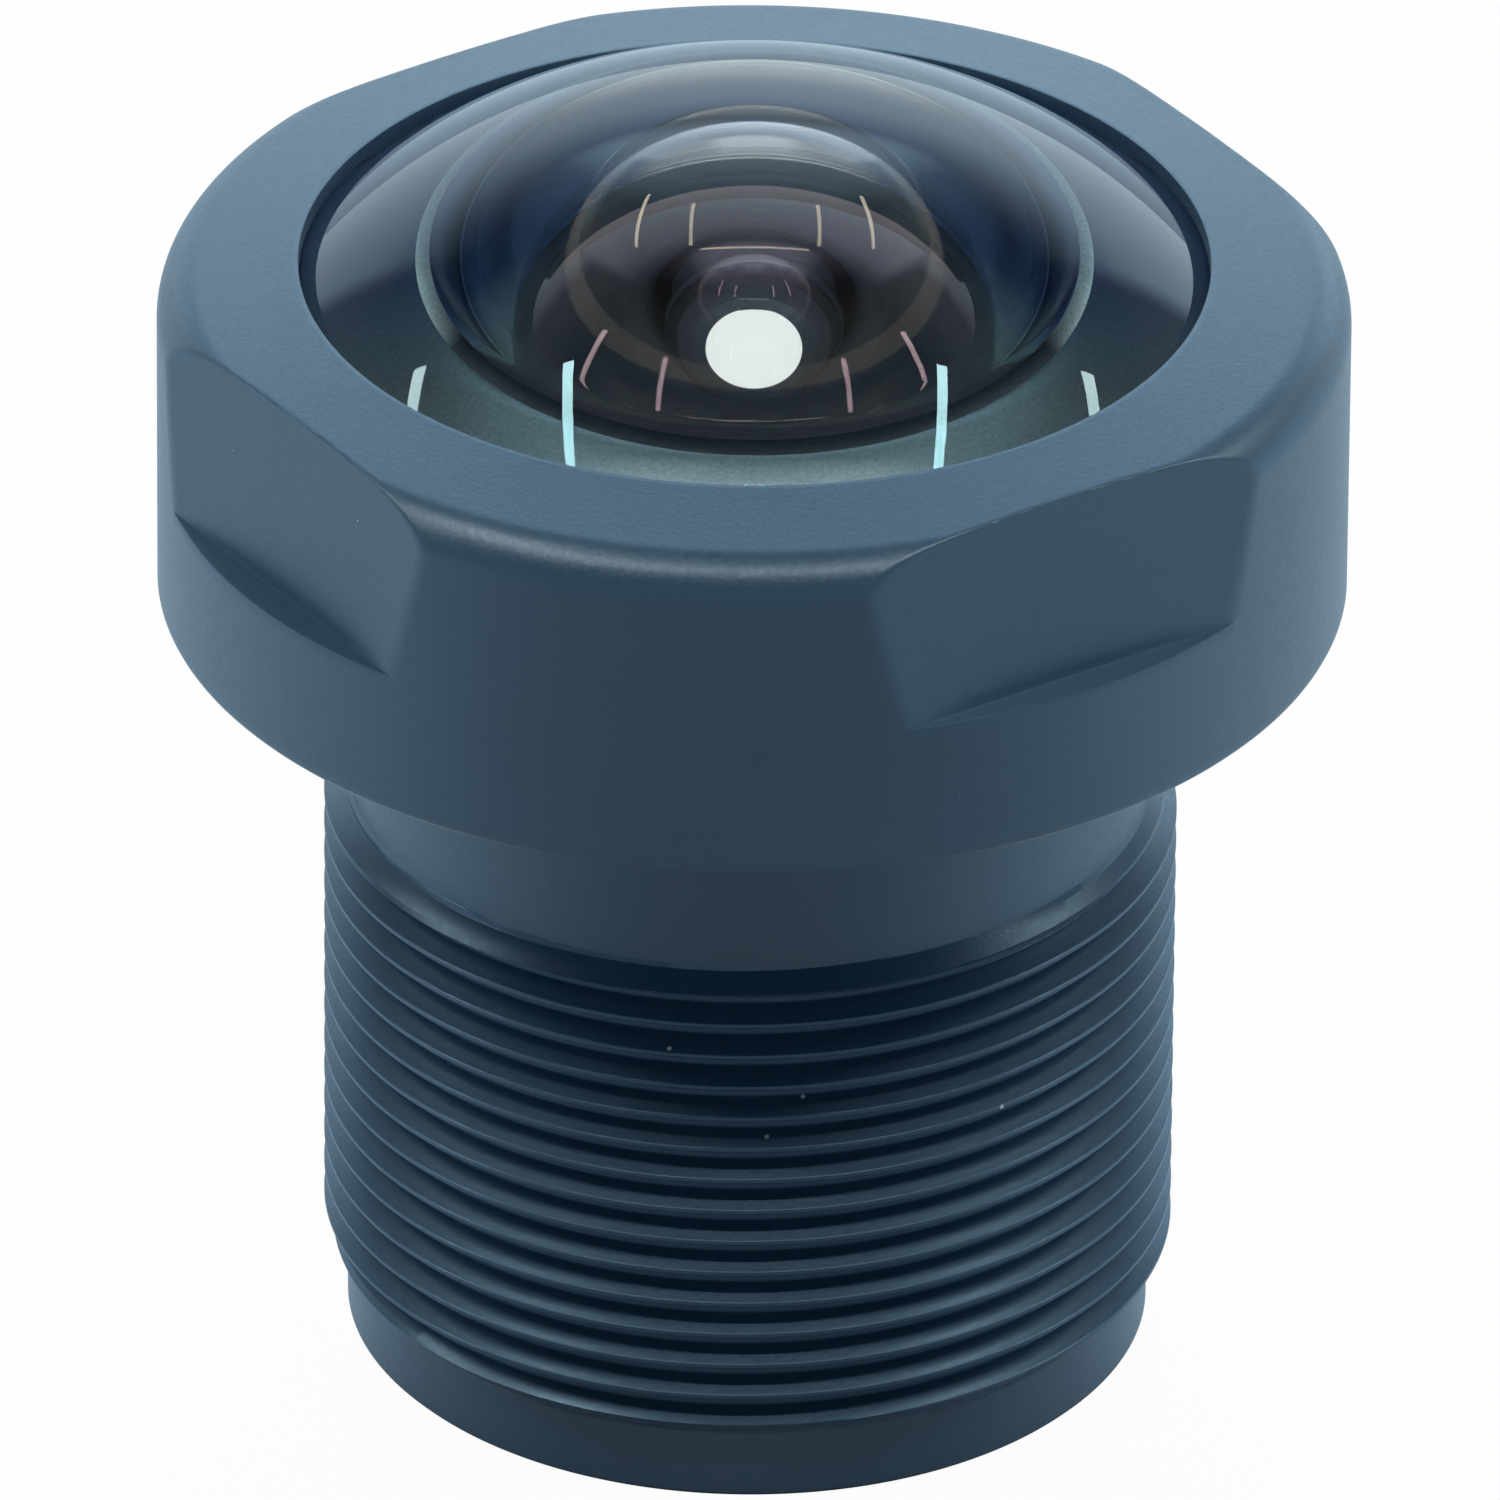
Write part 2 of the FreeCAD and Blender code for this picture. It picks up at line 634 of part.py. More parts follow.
def make_ir_cut_filter():
    """Round filter glass across the rear bore."""
    turned_body("ir_cut_filter", [
        ("0", FILTER_BOTTOM),
        (REAR_FIT, FILTER_BOTTOM),
        (REAR_FIT, FILTER_TOP),
        ("0", FILTER_TOP),
    ])


def make_rear_retaining_ring():
    """Threaded ring that clamps the rear stack, with slots for a pin spanner."""
    body = turned_body("rear_retaining_ring", [
        ("ring_opening + ring_opening_chamfer", RING_BOTTOM),
        (RING_FIT, RING_BOTTOM),
        (RING_FIT, RING_TOP),
        ("ring_opening", RING_TOP),
        ("ring_opening", f"{RING_BOTTOM} + ring_opening_chamfer"),
    ])
    inside = "ring_opening - ring_opening_chamfer"
    outside = "ring_bore_radius + ring_opening_chamfer"
    below = f"{RING_BOTTOM} - ring_opening_chamfer"
    straight_cuts(body, "spanner_slots", [
        (inside, below),
        (outside, below),
        (outside, f"{RING_BOTTOM} + slot_depth"),
        (inside, f"{RING_BOTTOM} + slot_depth"),
    ], "slot_width", "slot_count")


def make_rings():
    """The plain rings and sheets that space and mask the elements."""
    ring("front_spacer", FRONT_FIT, "front_spacer_opening", SPACER_BOTTOM, FRONT_SEAT)
    for label, opening, bottom, top in (
        ("doublet_baffle_sheet", "doublet_sheet_opening", DOUBLET_SHEET_BOTTOM, DOUBLET_HOLDER_BOTTOM),
        ("middle_spacer", MIDDLE_SPACER_OPENING, SIXTH_FLANGE_TOP, DOUBLET_SHEET_BOTTOM),
        ("rear_spacer", REAR_SPACER_OPENING, SEVENTH_FLANGE_TOP, SIXTH_FLANGE_BOTTOM),
        ("rear_baffle_sheet", "rear_sheet_opening", FILTER_TOP, SEVENTH_FLANGE_BOTTOM),
        ("filter_gasket", "gasket_opening", RING_TOP, FILTER_BOTTOM),
    ):
        ring(label, REAR_FIT, opening, bottom, top)


make_lens_barrel()
make_front_cap()
make_front_element()
make_front_o_ring()
make_second_element()
make_stepped_spacer()
make_third_element()
make_third_element_holder()
make_aperture_stop()
make_doublet()
make_doublet_holder()
make_sixth_element()
make_seventh_element()
make_ir_cut_filter()
make_rear_retaining_ring()
make_rings()
doc.recompute()

for item in doc.Objects:
    if "Invalid" in item.State or "Error" in item.State:
        raise ValueError(f"{item.Label} failed: {item.State}")
for part in sub_parts:
    if part.Shape.isNull() or not part.Shape.isValid() or len(part.Shape.Solids) != 1:
        raise ValueError(f"{part.Label} is not one valid solid")

os.makedirs("parts", exist_ok=True)
for part in sub_parts:
    part.Shape.exportStep(f"parts/{part.Label}.step")
    box = part.Shape.BoundBox
    heights = f"z {box.ZMin:.3f} to {box.ZMax:.3f}"
    print(f"{part.Label}: volume {part.Shape.Volume:.2f}, {heights}, radius {box.XMax:.3f}")
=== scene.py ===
"""The look of a board camera lens with an M12 x 0.5 barrel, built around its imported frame.

Lengths are in millimetres until a mesh is made. Heights are above the rear face of the lens, and the
optical axis is +Z. Each outline is a closed list of (radius, height) points, counter-clockwise.
"""

import math
from collections import namedtuple

import bmesh
import bpy
import numpy as np
from mathutils import Matrix, Vector


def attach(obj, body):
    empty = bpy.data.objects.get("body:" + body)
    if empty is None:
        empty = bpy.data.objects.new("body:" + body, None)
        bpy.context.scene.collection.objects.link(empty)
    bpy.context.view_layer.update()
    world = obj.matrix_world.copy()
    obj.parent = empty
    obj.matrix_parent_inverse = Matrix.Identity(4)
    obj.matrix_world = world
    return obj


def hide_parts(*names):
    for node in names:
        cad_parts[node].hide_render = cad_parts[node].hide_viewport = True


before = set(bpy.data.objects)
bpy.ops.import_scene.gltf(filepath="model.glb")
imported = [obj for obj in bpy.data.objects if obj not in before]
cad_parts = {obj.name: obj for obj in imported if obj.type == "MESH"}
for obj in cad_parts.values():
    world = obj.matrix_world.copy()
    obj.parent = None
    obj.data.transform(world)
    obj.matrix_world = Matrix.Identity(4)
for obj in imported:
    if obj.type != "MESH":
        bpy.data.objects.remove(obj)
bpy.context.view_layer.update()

MM = 0.001

# How finely round pieces are divided, and the angle from which an edge stays sharp
FINE = 384
MEDIUM = 256
COARSE = 160
FILTER_SEGMENTS = 128
SEAL_STEPS = 24
ARC_STEPS = 40
HOLLOW_STEPS = 64
DOME_STEPS = 96
SHARP = math.radians(34)
THREAD_SHARP = math.radians(15)

# Points this close are one point: on the axis, along an outline, and in a mesh in metres
ON_AXIS = 1e-9
SAME_POINT = 1e-6
MERGE_DISTANCE = 2e-7

# Clearance of faces that rest on each other, of fits and of steps that touch nothing
CONTACT = 0.003
FIT = 0.02
STEP_GAP = 0.03

# Broken corners: radii by kind of piece, and the arc's steps, least turn and share of a side
EDGE = 0.035
PLAIN_EDGE = 0.02
SHEET_EDGE = 0.01
HOLDER_EDGE = 0.015
RING_EDGE = 0.03
CORNER_STEPS = 3
CORNER_LEAST_TURN = math.radians(25)
CORNER_SHARE = 0.4

# Where the middle of a small rounded edge lies, in from each side, as a share of its radius
ARC_MIDDLE = 0.3

# Thread M12 x 0.5: one pitch as (share of the pitch, depth below the crest)
PITCH = 0.5
THREAD_DEPTH = 0.30
CREST_HEIGHT = 0.512
THREAD_PROFILE = (
    (-0.05, 0.0), (0.05, 0.0), (0.075, 0.012), (0.24, 0.157), (0.40, 0.288),
    (0.43, THREAD_DEPTH), (0.57, THREAD_DEPTH), (0.60, 0.288), (0.76, 0.157), (0.925, 0.012),
)
THREAD_RADIUS = 5.975
THREAD_TOP = 8.25
HELIX_OVERRUN = 0.40

# Barrel outside: pilot, neck, and the plain rows below and above the helix
PILOT_RADIUS = 5.64
PILOT_TOP = 1.05
PILOT_CHAMFER = 0.08
NECK_RADIUS = 5.65
NECK_FILLET = 0.05
RUN_IN_BOTTOM = 0.42
RUN_OUT_TOP = 9.60

# Barrel inside: front chamfer, seal groove, step above the third element, web and rear chamfer
BARREL_CHAMFER = 0.10
SEAL_GROOVE_RADIUS = 6.12
FRONT_STEP_RISE = 0.094
WEB_TOP_RADIUS = 1.90
WEB_LOW_RADIUS = 2.20
RING_BORE_CHAMFER = 0.20

# Head: rounding, fall of its top, flats, and its lower edge as (distance in from the side, height)
CAP_FILLET = 0.68
CAP_DROP = 0.33
FLAT_COUNT = 4
FLAT_DEPTH = 0.454
FLAT_LEDGE = 13.78
FLAT_LEAN = math.radians(5.4)
CAP_FOOT_EDGE = ((0.10, 0.0), (0.06, 0.02), (0.02, 0.06), (0.0, 0.10))

# Lip of the head: how far it covers the front glass, its gap to the glass and its chamfer
LIP_OVERLAP = 0.37
LIP_GAP = 0.02
LIP_CHAMFER = 0.02

# Columns of the head: closest round the corner of a flat, between two turns in radians
CORNER_BEFORE = 0.09
CORNER_AFTER = 0.22
CORNER_COLUMNS = 66
OPEN_COLUMNS = 10
ANGLE_DIGITS = 9

# Rows of the head: counts, margins, least depth and rise of a ledge, and widths of its soft edges
SIDE_ROWS = 5
SIDE_MARGIN = 0.2
WALL_ROWS = 14
WALL_START = 0.1
FILLET_ROWS = 33
TOP_ROWS = 26
LEDGE_LEAST_DEPTH = 0.004
LEDGE_LEAST_RISE = 0.002
LEDGE_BLEND = 0.02
FLAT_BLEND = 0.05

# Front element: radii of dome and hollow, thickness, bevel round the hollow and rear chamfer
DOME = 9.392
CONCAVE = 4.10
FRONT_THICKNESS = 0.552
FRONT_BEVEL = 0.15
FRONT_CHAMFER = 0.06

# Second element: surfaces, thickness, polished radii, and radii of boss, flange and shoulder
SECOND_FRONT = 11.0
SECOND_REAR = 2.05
SECOND_THICKNESS = 0.90
SECOND_CLEAR = 3.55
SECOND_HOLLOW = 1.95
SECOND_BOSS = 3.00
SECOND_FLANGE = 4.00
SECOND_SHOULDER = 3.70

# Third element to the doublet: radii of the surfaces, and the polished radii
THIRD_FRONT = 9.0
THIRD_REAR = 4.2
THIRD_FRONT_CLEAR = 2.40
THIRD_REAR_CLEAR = 2.10
DOUBLET_FRONT = 9.0
DOUBLET_CEMENT = 3.2
DOUBLET_REAR = 9.0
DOUBLET_CLEAR = 2.10

# Sixth and seventh elements, in the same terms
SIXTH_SURFACE = 6.0
SIXTH_CLEAR = 2.60
SEVENTH_FRONT = 8.0
SEVENTH_REAR = 30.0
SEVENTH_CLEAR = 2.70

# Spacer with a stair inside: steps, widest step and height of its narrow foot
STAIR_STEPS = 4
STAIR_WIDE = 4.20
STAIR_FOOT = 0.45

# Holders: radius of the pocket and thickness of the ledge
THIRD_POCKET = 3.42
THIRD_LEDGE = 0.76
DOUBLET_POCKET = 2.32
DOUBLET_LEDGE = 0.45

# Stop, filter and retaining ring
STOP_FLARE = 0.15
FILTER_CHAMFER = 0.08
RING_CHAMFER = 0.30
SLOT_WIDTH = 0.8
SLOT_DEPTH = 0.6

# Zones of a glass, in the order of its materials; on all but the front glass, ground edges are inked
POLISHED = 0
GROUND = 1
BEVEL = 2
HOLLOW = 3

# Lowest and highest height, and smallest and largest radius
Extent = namedtuple("Extent", "low high inner outer")


def measured(node):
    """The extent of a CAD node."""
    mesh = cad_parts[node].data
    places = np.zeros(len(mesh.vertices) * 3)
    mesh.vertices.foreach_get("co", places)
    places = places.reshape(-1, 3) / MM
    radius = np.hypot(places[:, 0], places[:, 1])
    return Extent(places[:, 2].min(), places[:, 2].max(), radius.min(), radius.max())


def sag(radius, distance):
    """How far a sphere falls away between the axis and a distance from it."""
    return radius - np.sqrt(radius ** 2 - distance ** 2)


def surface(radius, apex, start, end, bulge=1, steps=ARC_STEPS):
    """Points of a sphere between two distances from the axis; bulge is -1 if the apex is lowest."""
    distance = np.linspace(start, end, steps + 1)
    return list(zip(distance, apex - bulge * sag(radius, distance)))


def rounded(outline, radius):
    """The closed outline with each sharp corner turned into a small arc."""
    result = []
    count = len(outline)
    for index, corner in enumerate(outline):
        here = Vector(corner)
        back = Vector(outline[index - 1]) - here
        ahead = Vector(outline[(index + 1) % count]) - here
        turn = math.pi - back.angle(ahead)
        if turn < CORNER_LEAST_TURN or here.x < radius:
            result.append(tuple(here))
            continue
        room = CORNER_SHARE * min(back.length, ahead.length)
        reach = min(radius * math.tan(turn / 2), room)
        first = here + back.normalized() * reach
        last = here + ahead.normalized() * reach
        for step in range(CORNER_STEPS + 1):
            share = step / CORNER_STEPS
            near = first.lerp(here, share)
            far = here.lerp(last, share)
            result.append(tuple(near.lerp(far, share)))
    return result


def make_object(name, places, faces, zones, sharp=SHARP):
    """A mesh object from places in millimetres, with a material zone for each face."""
    mesh = bpy.data.meshes.new(name)
    mesh.from_pydata((np.asarray(places) * MM).tolist(), [], faces)
    mesh.polygons.foreach_set("use_smooth", [True] * len(mesh.polygons))
    mesh.polygons.foreach_set("material_index", zones)
    mesh.set_sharp_from_angle(angle=sharp)
    mesh.update()
    piece = bpy.data.objects.new(name, mesh)
    bpy.context.scene.collection.objects.link(piece)
    return piece


def swept(name, angles, radii, heights, zones=None):
    """A closed mesh from rows of points round the axis; a row of zero radius is one point."""
    rows, columns = radii.shape
    places = []
    numbers = np.zeros((rows, columns), int)
    for row in range(rows):
        if np.all(radii[row] < ON_AXIS):
            numbers[row] = len(places)
            places.append((0.0, 0.0, heights[row, 0]))
            continue
        numbers[row] = len(places) + np.arange(columns)
        x = radii[row] * np.cos(angles)
        y = radii[row] * np.sin(angles)
        places.extend(zip(x, y, heights[row]))
    faces = []
    face_zones = []
    for row in range(rows):
        above = (row + 1) % rows
        a = numbers[row]
        b = np.roll(numbers[row], -1)
        c = np.roll(numbers[above], -1)
        d = numbers[above]
        if a[0] == b[0] and c[0] == d[0]:
            continue
        if a[0] == b[0]:
            strip = np.stack([a, c, d], 1)
        elif c[0] == d[0]:
            strip = np.stack([a, b, c], 1)
        else:
            strip = np.stack([a, b, c, d], 1)
        faces.extend(strip.tolist())
        face_zones.extend([zones[row] if zones else 0] * columns)
    return make_object(name, places, faces, face_zones)


def turned(name, outline, zones=None, segments=COARSE):
    """A piece turned about the optical axis."""
    angles = np.linspace(0, 2 * math.pi, segments, endpoint=False)
    radii = np.repeat(np.array([point[0] for point in outline])[:, None], segments, 1)
    heights = np.repeat(np.array([point[1] for point in outline])[:, None], segments, 1)
    return swept(name, angles, radii, heights, zones)


def joined(*parts):
    """One outline and its zones from (zone, points) parts; a side belongs to the part it leads into."""
    outline = []
    zones = []
    for zone, points in parts:
        for point in points:
            if outline and math.dist(point, outline[-1]) < SAME_POINT:
                continue
            outline.append(point)
            zones.append(zone)
    zones = zones[1:] + zones[:1]
    return outline, zones


def merge_close(piece):
    """Join points that lie on each other."""
    shape = bmesh.new()
    shape.from_mesh(piece.data)
    bmesh.ops.remove_doubles(shape, verts=shape.verts, dist=MERGE_DISTANCE)
    bmesh.ops.dissolve_degenerate(shape, edges=shape.edges, dist=MERGE_DISTANCE)
    shape.to_mesh(piece.data)
    shape.free()
    piece.data.set_sharp_from_angle(angle=SHARP)


# Shapes

_, barrel_high, _, cap_thread_radius = measured("lens_barrel")
cap_low, cap_high, _, cap_radius = measured("front_cap")
front_low, front_high, _, front_edge = measured("front_element")


def envelope(height):
    """Radius of the barrel's outside before the thread is cut."""
    pilot_cone_top = PILOT_TOP + THREAD_RADIUS - PILOT_RADIUS
    neck_cone_top = THREAD_TOP + THREAD_RADIUS - NECK_RADIUS
    return np.interp(
        height,
        [PILOT_TOP, pilot_cone_top, THREAD_TOP, neck_cone_top],
        [PILOT_RADIUS, THREAD_RADIUS, THREAD_RADIUS, NECK_RADIUS],
    )


def barrel_bores():
    """The barrel's inside from its front end to the rear face, stepped to hold the optics."""
    seat = front_low - CONTACT
    groove_low = measured("front_o_ring").low - CONTACT
    pocket = front_edge + FIT
    front_bore, upper_bore, doublet_bore, rear_bore, ring_bore = (
        measured(node).outer + FIT
        for node in ("front_spacer", "third_element_holder", "doublet_holder", "middle_spacer",
                     "rear_retaining_ring")
    )
    web_top = measured("aperture_stop").low - CONTACT
    web_low = measured("doublet_holder").high + CONTACT
    front_step = measured("third_element").high + FRONT_STEP_RISE
    doublet_step = measured("doublet_holder").low + STEP_GAP
    ring_step = measured("rear_retaining_ring").high + STEP_GAP
    return [
        (cap_thread_radius, barrel_high - BARREL_CHAMFER),
        (cap_thread_radius - BARREL_CHAMFER, barrel_high),
        (pocket, barrel_high), (pocket, groove_low),
        (SEAL_GROOVE_RADIUS, groove_low), (SEAL_GROOVE_RADIUS, seat),
        (front_bore, seat), (front_bore, front_step),
        (upper_bore, front_step), (upper_bore, web_top),
        (WEB_TOP_RADIUS, web_top), (WEB_LOW_RADIUS, web_low),
        (doublet_bore, web_low), (doublet_bore, doublet_step),
        (rear_bore, doublet_step), (rear_bore, ring_step),
        (ring_bore, ring_step), (ring_bore, RING_BORE_CHAMFER),
        (ring_bore + RING_BORE_CHAMFER, 0.0),
        (PILOT_RADIUS - PILOT_CHAMFER, 0.0), (PILOT_RADIUS, PILOT_CHAMFER),
    ]


def helix_rows(angles):
    """Rows of the thread, each climbing one pitch in a turn, as radii and heights over the angles."""
    climb = PITCH * angles / (2 * math.pi)
    turns = math.ceil((THREAD_TOP + HELIX_OVERRUN - CREST_HEIGHT) / PITCH)
    rows = []
    for turn in range(turns):
        for share, depth in THREAD_PROFILE:
            height = CREST_HEIGHT + PITCH * (turn + share) + climb
            rows.append((np.minimum(THREAD_RADIUS - depth, envelope(height)), height))
    return rows


def barrel_faces(first_helix, last_helix, columns):
    """Faces of the barrel: plain rows close on themselves, and helix rows meet the next turn."""
    per_turn = len(THREAD_PROFILE)
    last_plain = first_helix - 1
    end = columns - 1

    def at(row, column):
        return row * columns + column

    def between(low, high, column, ahead):
        return (at(low, column), at(low, ahead), at(high, ahead), at(high, column))

    faces = []
    for row in range(last_plain):
        for column in range(columns):
            faces.append(between(row, row + 1, column, (column + 1) % columns))
    for low, high in ((last_plain, first_helix), (last_helix, 0)):
        for column in range(end):
            faces.append(between(low, high, column, column + 1))
    for row in range(first_helix, last_helix):
        for column in range(end):
            faces.append(between(row, row + 1, column, column + 1))
        next_turn = row + per_turn
        if next_turn < last_helix:
            faces.append((at(row, end), at(next_turn, 0), at(next_turn + 1, 0), at(row + 1, end)))
    faces.append(between(last_plain, first_helix, end, 0))
    for row in range(first_helix, first_helix + per_turn):
        faces.append((at(first_helix, end), at(row, 0), at(row + 1, 0)))
    for row in range(last_helix - per_turn, last_helix):
        faces.append((at(row, end), at(last_helix, 0), at(row + 1, end)))
    faces.append(between(last_helix, 0, end, 0))
    return faces


def make_barrel():
    """The barrel with its helical thread outside and the stepped bores inside."""
    upper = [
        (NECK_RADIUS, RUN_OUT_TOP), (NECK_RADIUS, cap_low - NECK_FILLET),
        (NECK_RADIUS + NECK_FILLET, cap_low), (cap_thread_radius, cap_low),
    ]
    lower = [(PILOT_RADIUS, RUN_IN_BOTTOM)]
    angles = np.linspace(0, 2 * math.pi, FINE, endpoint=False)
    rows = [(np.full(FINE, radius), np.full(FINE, height))
            for radius, height in upper + barrel_bores() + lower]
    first_helix = len(rows)
    rows += helix_rows(angles)
    places = []
    for radius, height in rows:
        places.extend(zip(radius * np.cos(angles), radius * np.sin(angles), height))
    faces = barrel_faces(first_helix, len(rows) - 1, FINE)
    # Zone 1 is the thread: what stands out past the neck's radius, up to the top of its cone. It takes a
    # darker copy of the anodised metal, which is painted shade
    cone_top = THREAD_TOP + THREAD_RADIUS - NECK_RADIUS
    middles = [np.mean([places[number] for number in face], 0) for face in faces]
    zones = [int(math.hypot(x, y) > NECK_RADIUS + CONTACT and z < cone_top) for x, y, z in middles]
    return make_object("barrel_threaded", places, faces, zones, THREAD_SHARP)


def soft_min(a, b, width):
    """The smaller of two values, with a rounded change from one to the other."""
    blend = np.clip((a - b) / width * 0.5 + 0.5, 0, 1)
    return a + (b - a) * blend - width * blend * (1 - blend)


def cap_columns(corner):
    """Bearings of the head's columns, and each one's turn from the middle of the nearest flat.

    The columns are closest round the corner, which is the turn where a flat meets the round side.
    """
    half_turn = math.pi / FLAT_COUNT
    start = corner - CORNER_BEFORE
    stop = corner + CORNER_AFTER
    offsets = np.concatenate([
        np.linspace(0, start, OPEN_COLUMNS, endpoint=False),
        np.linspace(start, stop, CORNER_COLUMNS, endpoint=False),
        np.linspace(stop, half_turn, OPEN_COLUMNS, endpoint=False),
    ])
    turns = np.unique(np.round(np.concatenate([-offsets, offsets, [-half_turn]]), ANGLE_DIGITS))
    bearings = np.concatenate([turns + 2 * half_turn * flat for flat in range(FLAT_COUNT)])
    return bearings, np.concatenate([turns] * FLAT_COUNT)


def cap_shoulder(rim):
    """Side above the ledges, rounding and sloping top of the head, up to the rim of its lip."""
    slope = math.atan2(CAP_DROP, cap_radius - rim)
    sweep = math.pi / 2 - slope
    centre_height = cap_high - CAP_DROP - CAP_FILLET * math.tan(sweep / 2)
    fillet = [
        (cap_radius - CAP_FILLET + CAP_FILLET * math.cos(t), centre_height + CAP_FILLET * math.sin(t))
        for t in np.linspace(0, sweep, FILLET_ROWS)
    ]
    side_end = fillet[0][1]
    top_radius, top_height = fillet[-1]
    wall = [(cap_radius, height)
            for height in np.linspace(FLAT_LEDGE + WALL_START, side_end, WALL_ROWS, endpoint=False)]
    top = [(radius, top_height + (top_radius - radius) * math.tan(slope))
           for radius in np.linspace(top_radius, rim + EDGE, TOP_ROWS)[1:]]
    return wall + fillet + top


def make_cap():
    """The head, with four leaning wrench flats and the crescent ledges under them."""
    foot = cap_radius - FLAT_DEPTH
    bearings, turns = cap_columns(math.acos(foot / cap_radius))
    count = len(bearings)
    bore = cap_thread_radius + FIT
    rim = front_edge - LIP_OVERLAP
    lip_low = front_high - sag(DOME, rim) + LIP_GAP
    edge_low = front_high - sag(DOME, front_edge) + LIP_GAP
    rows = []

    def flat_radius(height):
        distance = foot - math.tan(FLAT_LEAN) * (height - FLAT_LEDGE)
        return distance / np.cos(turns)

    def level(radius, height):
        rows.append((np.full(count, radius), np.full(count, height)))

    level(bore, cap_low)
    for inset, rise in CAP_FOOT_EDGE:
        level(cap_radius - inset, cap_low + rise)
    for height in np.linspace(cap_low + SIDE_MARGIN, FLAT_LEDGE - SIDE_MARGIN, SIDE_ROWS):
        level(cap_radius, height)
    depth = cap_radius - soft_min(np.full(count, cap_radius), flat_radius(FLAT_LEDGE), LEDGE_BLEND)
    depth = np.where(depth < LEDGE_LEAST_DEPTH, 0, depth)
    # The two rounded edges of a ledge take up to a third of its depth each
    turn = np.minimum(EDGE, depth / 3)
    ledge = np.full(count, FLAT_LEDGE)
    rows.extend([
        (np.full(count, cap_radius), FLAT_LEDGE - turn),
        (cap_radius - ARC_MIDDLE * turn, FLAT_LEDGE - ARC_MIDDLE * turn),
        (cap_radius - turn, ledge),
        (cap_radius - depth + turn, ledge),
        (cap_radius - depth + ARC_MIDDLE * turn, FLAT_LEDGE + ARC_MIDDLE * turn),
        (cap_radius - depth, FLAT_LEDGE + turn + LEDGE_LEAST_RISE),
    ])
    for radius, height in cap_shoulder(rim):
        blunt = soft_min(np.full(count, radius), flat_radius(height), FLAT_BLEND)
        rows.append((blunt, np.full(count, height)))
    level(rim + ARC_MIDDLE * EDGE, cap_high - ARC_MIDDLE * EDGE)
    level(rim, cap_high - EDGE)
    level(rim, lip_low + LIP_CHAMFER)
    level(rim + LIP_CHAMFER, lip_low)
    level(front_edge, edge_low)
    level(bore, edge_low)
    radii = np.array([radius for radius, _ in rows])
    heights = np.array([height for _, height in rows])
    piece = swept("head_cap", bearings, radii, heights)
    merge_close(piece)
    return piece


def make_front_element():
    """The front meniscus: polished dome and hollow, ground bevel, rim and edge."""
    concave_apex = front_high - FRONT_THICKNESS
    seat = front_low + CONTACT
    bevel_height = front_low + FRONT_BEVEL
    reach = bevel_height - (concave_apex - CONCAVE)
    bevel_radius = math.sqrt(CONCAVE ** 2 - reach ** 2)
    dome_edge = front_high - sag(DOME, front_edge)
    outline, zones = joined(
        (HOLLOW, surface(CONCAVE, concave_apex, 0, bevel_radius, steps=HOLLOW_STEPS)),
        (BEVEL, [(bevel_radius + FRONT_BEVEL, seat)]),
        (GROUND, [(front_edge - FRONT_CHAMFER, seat), (front_edge, seat + FRONT_CHAMFER)]),
        (GROUND, [(front_edge, dome_edge)]),
        (POLISHED, surface(DOME, front_high, front_edge, 0, steps=DOME_STEPS)),
    )
    return turned("front_glass", outline, zones, segments=FINE)


def make_second_element():
    """The second element: a moulded meniscus with a flange and a conical boss."""
    low, high, _, edge = measured("second_element")
    flange_top = measured("front_spacer").low - CONTACT
    flange_low = measured("stepped_spacer").high + CONTACT
    clear_height = high - sag(SECOND_FRONT, SECOND_CLEAR)
    outline, zones = joined(
        (POLISHED, surface(SECOND_REAR, high - SECOND_THICKNESS, 0, SECOND_HOLLOW)),
        (GROUND, [(SECOND_BOSS, low), (SECOND_FLANGE, flange_low), (edge, flange_low)]),
        (GROUND, [(edge, flange_top), (SECOND_SHOULDER, flange_top), (SECOND_CLEAR, clear_height)]),
        (POLISHED, surface(SECOND_FRONT, high, SECOND_CLEAR, 0)),
    )
    return turned("second_lens", outline, zones, segments=MEDIUM)


def make_third_element():
    """The third element: thick biconvex glass."""
    low, high, _, edge = measured("third_element")
    front_rim = high - sag(THIRD_FRONT, THIRD_FRONT_CLEAR) - CONTACT
    rear_rim = low + sag(THIRD_REAR, THIRD_REAR_CLEAR) + CONTACT
    outline, zones = joined(
        (POLISHED, surface(THIRD_REAR, low, 0, THIRD_REAR_CLEAR, bulge=-1)),
        (GROUND, [(edge, rear_rim), (edge, front_rim), (THIRD_FRONT_CLEAR, front_rim)]),
        (POLISHED, surface(THIRD_FRONT, high, THIRD_FRONT_CLEAR, 0)),
    )
    return turned("third_lens", outline, zones)


def make_doublet():
    """The cemented fourth and fifth elements."""
    low, high, _, edge = measured("fourth_element")
    front_rim = high - sag(DOUBLET_FRONT, DOUBLET_CLEAR) - CONTACT
    outline, zones = joined(
        (POLISHED, surface(DOUBLET_CEMENT, low + CONTACT / 2, 0, edge, bulge=-1)),
        (GROUND, [(edge, front_rim), (DOUBLET_CLEAR, front_rim)]),
        (POLISHED, surface(DOUBLET_FRONT, high, DOUBLET_CLEAR, 0)),
    )
    fourth = turned("fourth_lens", outline, zones)
    rear_low, _, _, rear_edge = measured("fifth_element")
    cement = low - CONTACT / 2
    outline, zones = joined(
        (POLISHED, surface(DOUBLET_REAR, rear_low, 0, rear_edge, bulge=-1)),
        (GROUND, surface(DOUBLET_CEMENT, cement, rear_edge, rear_edge, bulge=-1, steps=1)),
        (POLISHED, surface(DOUBLET_CEMENT, cement, rear_edge, 0, bulge=-1)),
    )
    return fourth, turned("fifth_lens", outline, zones)


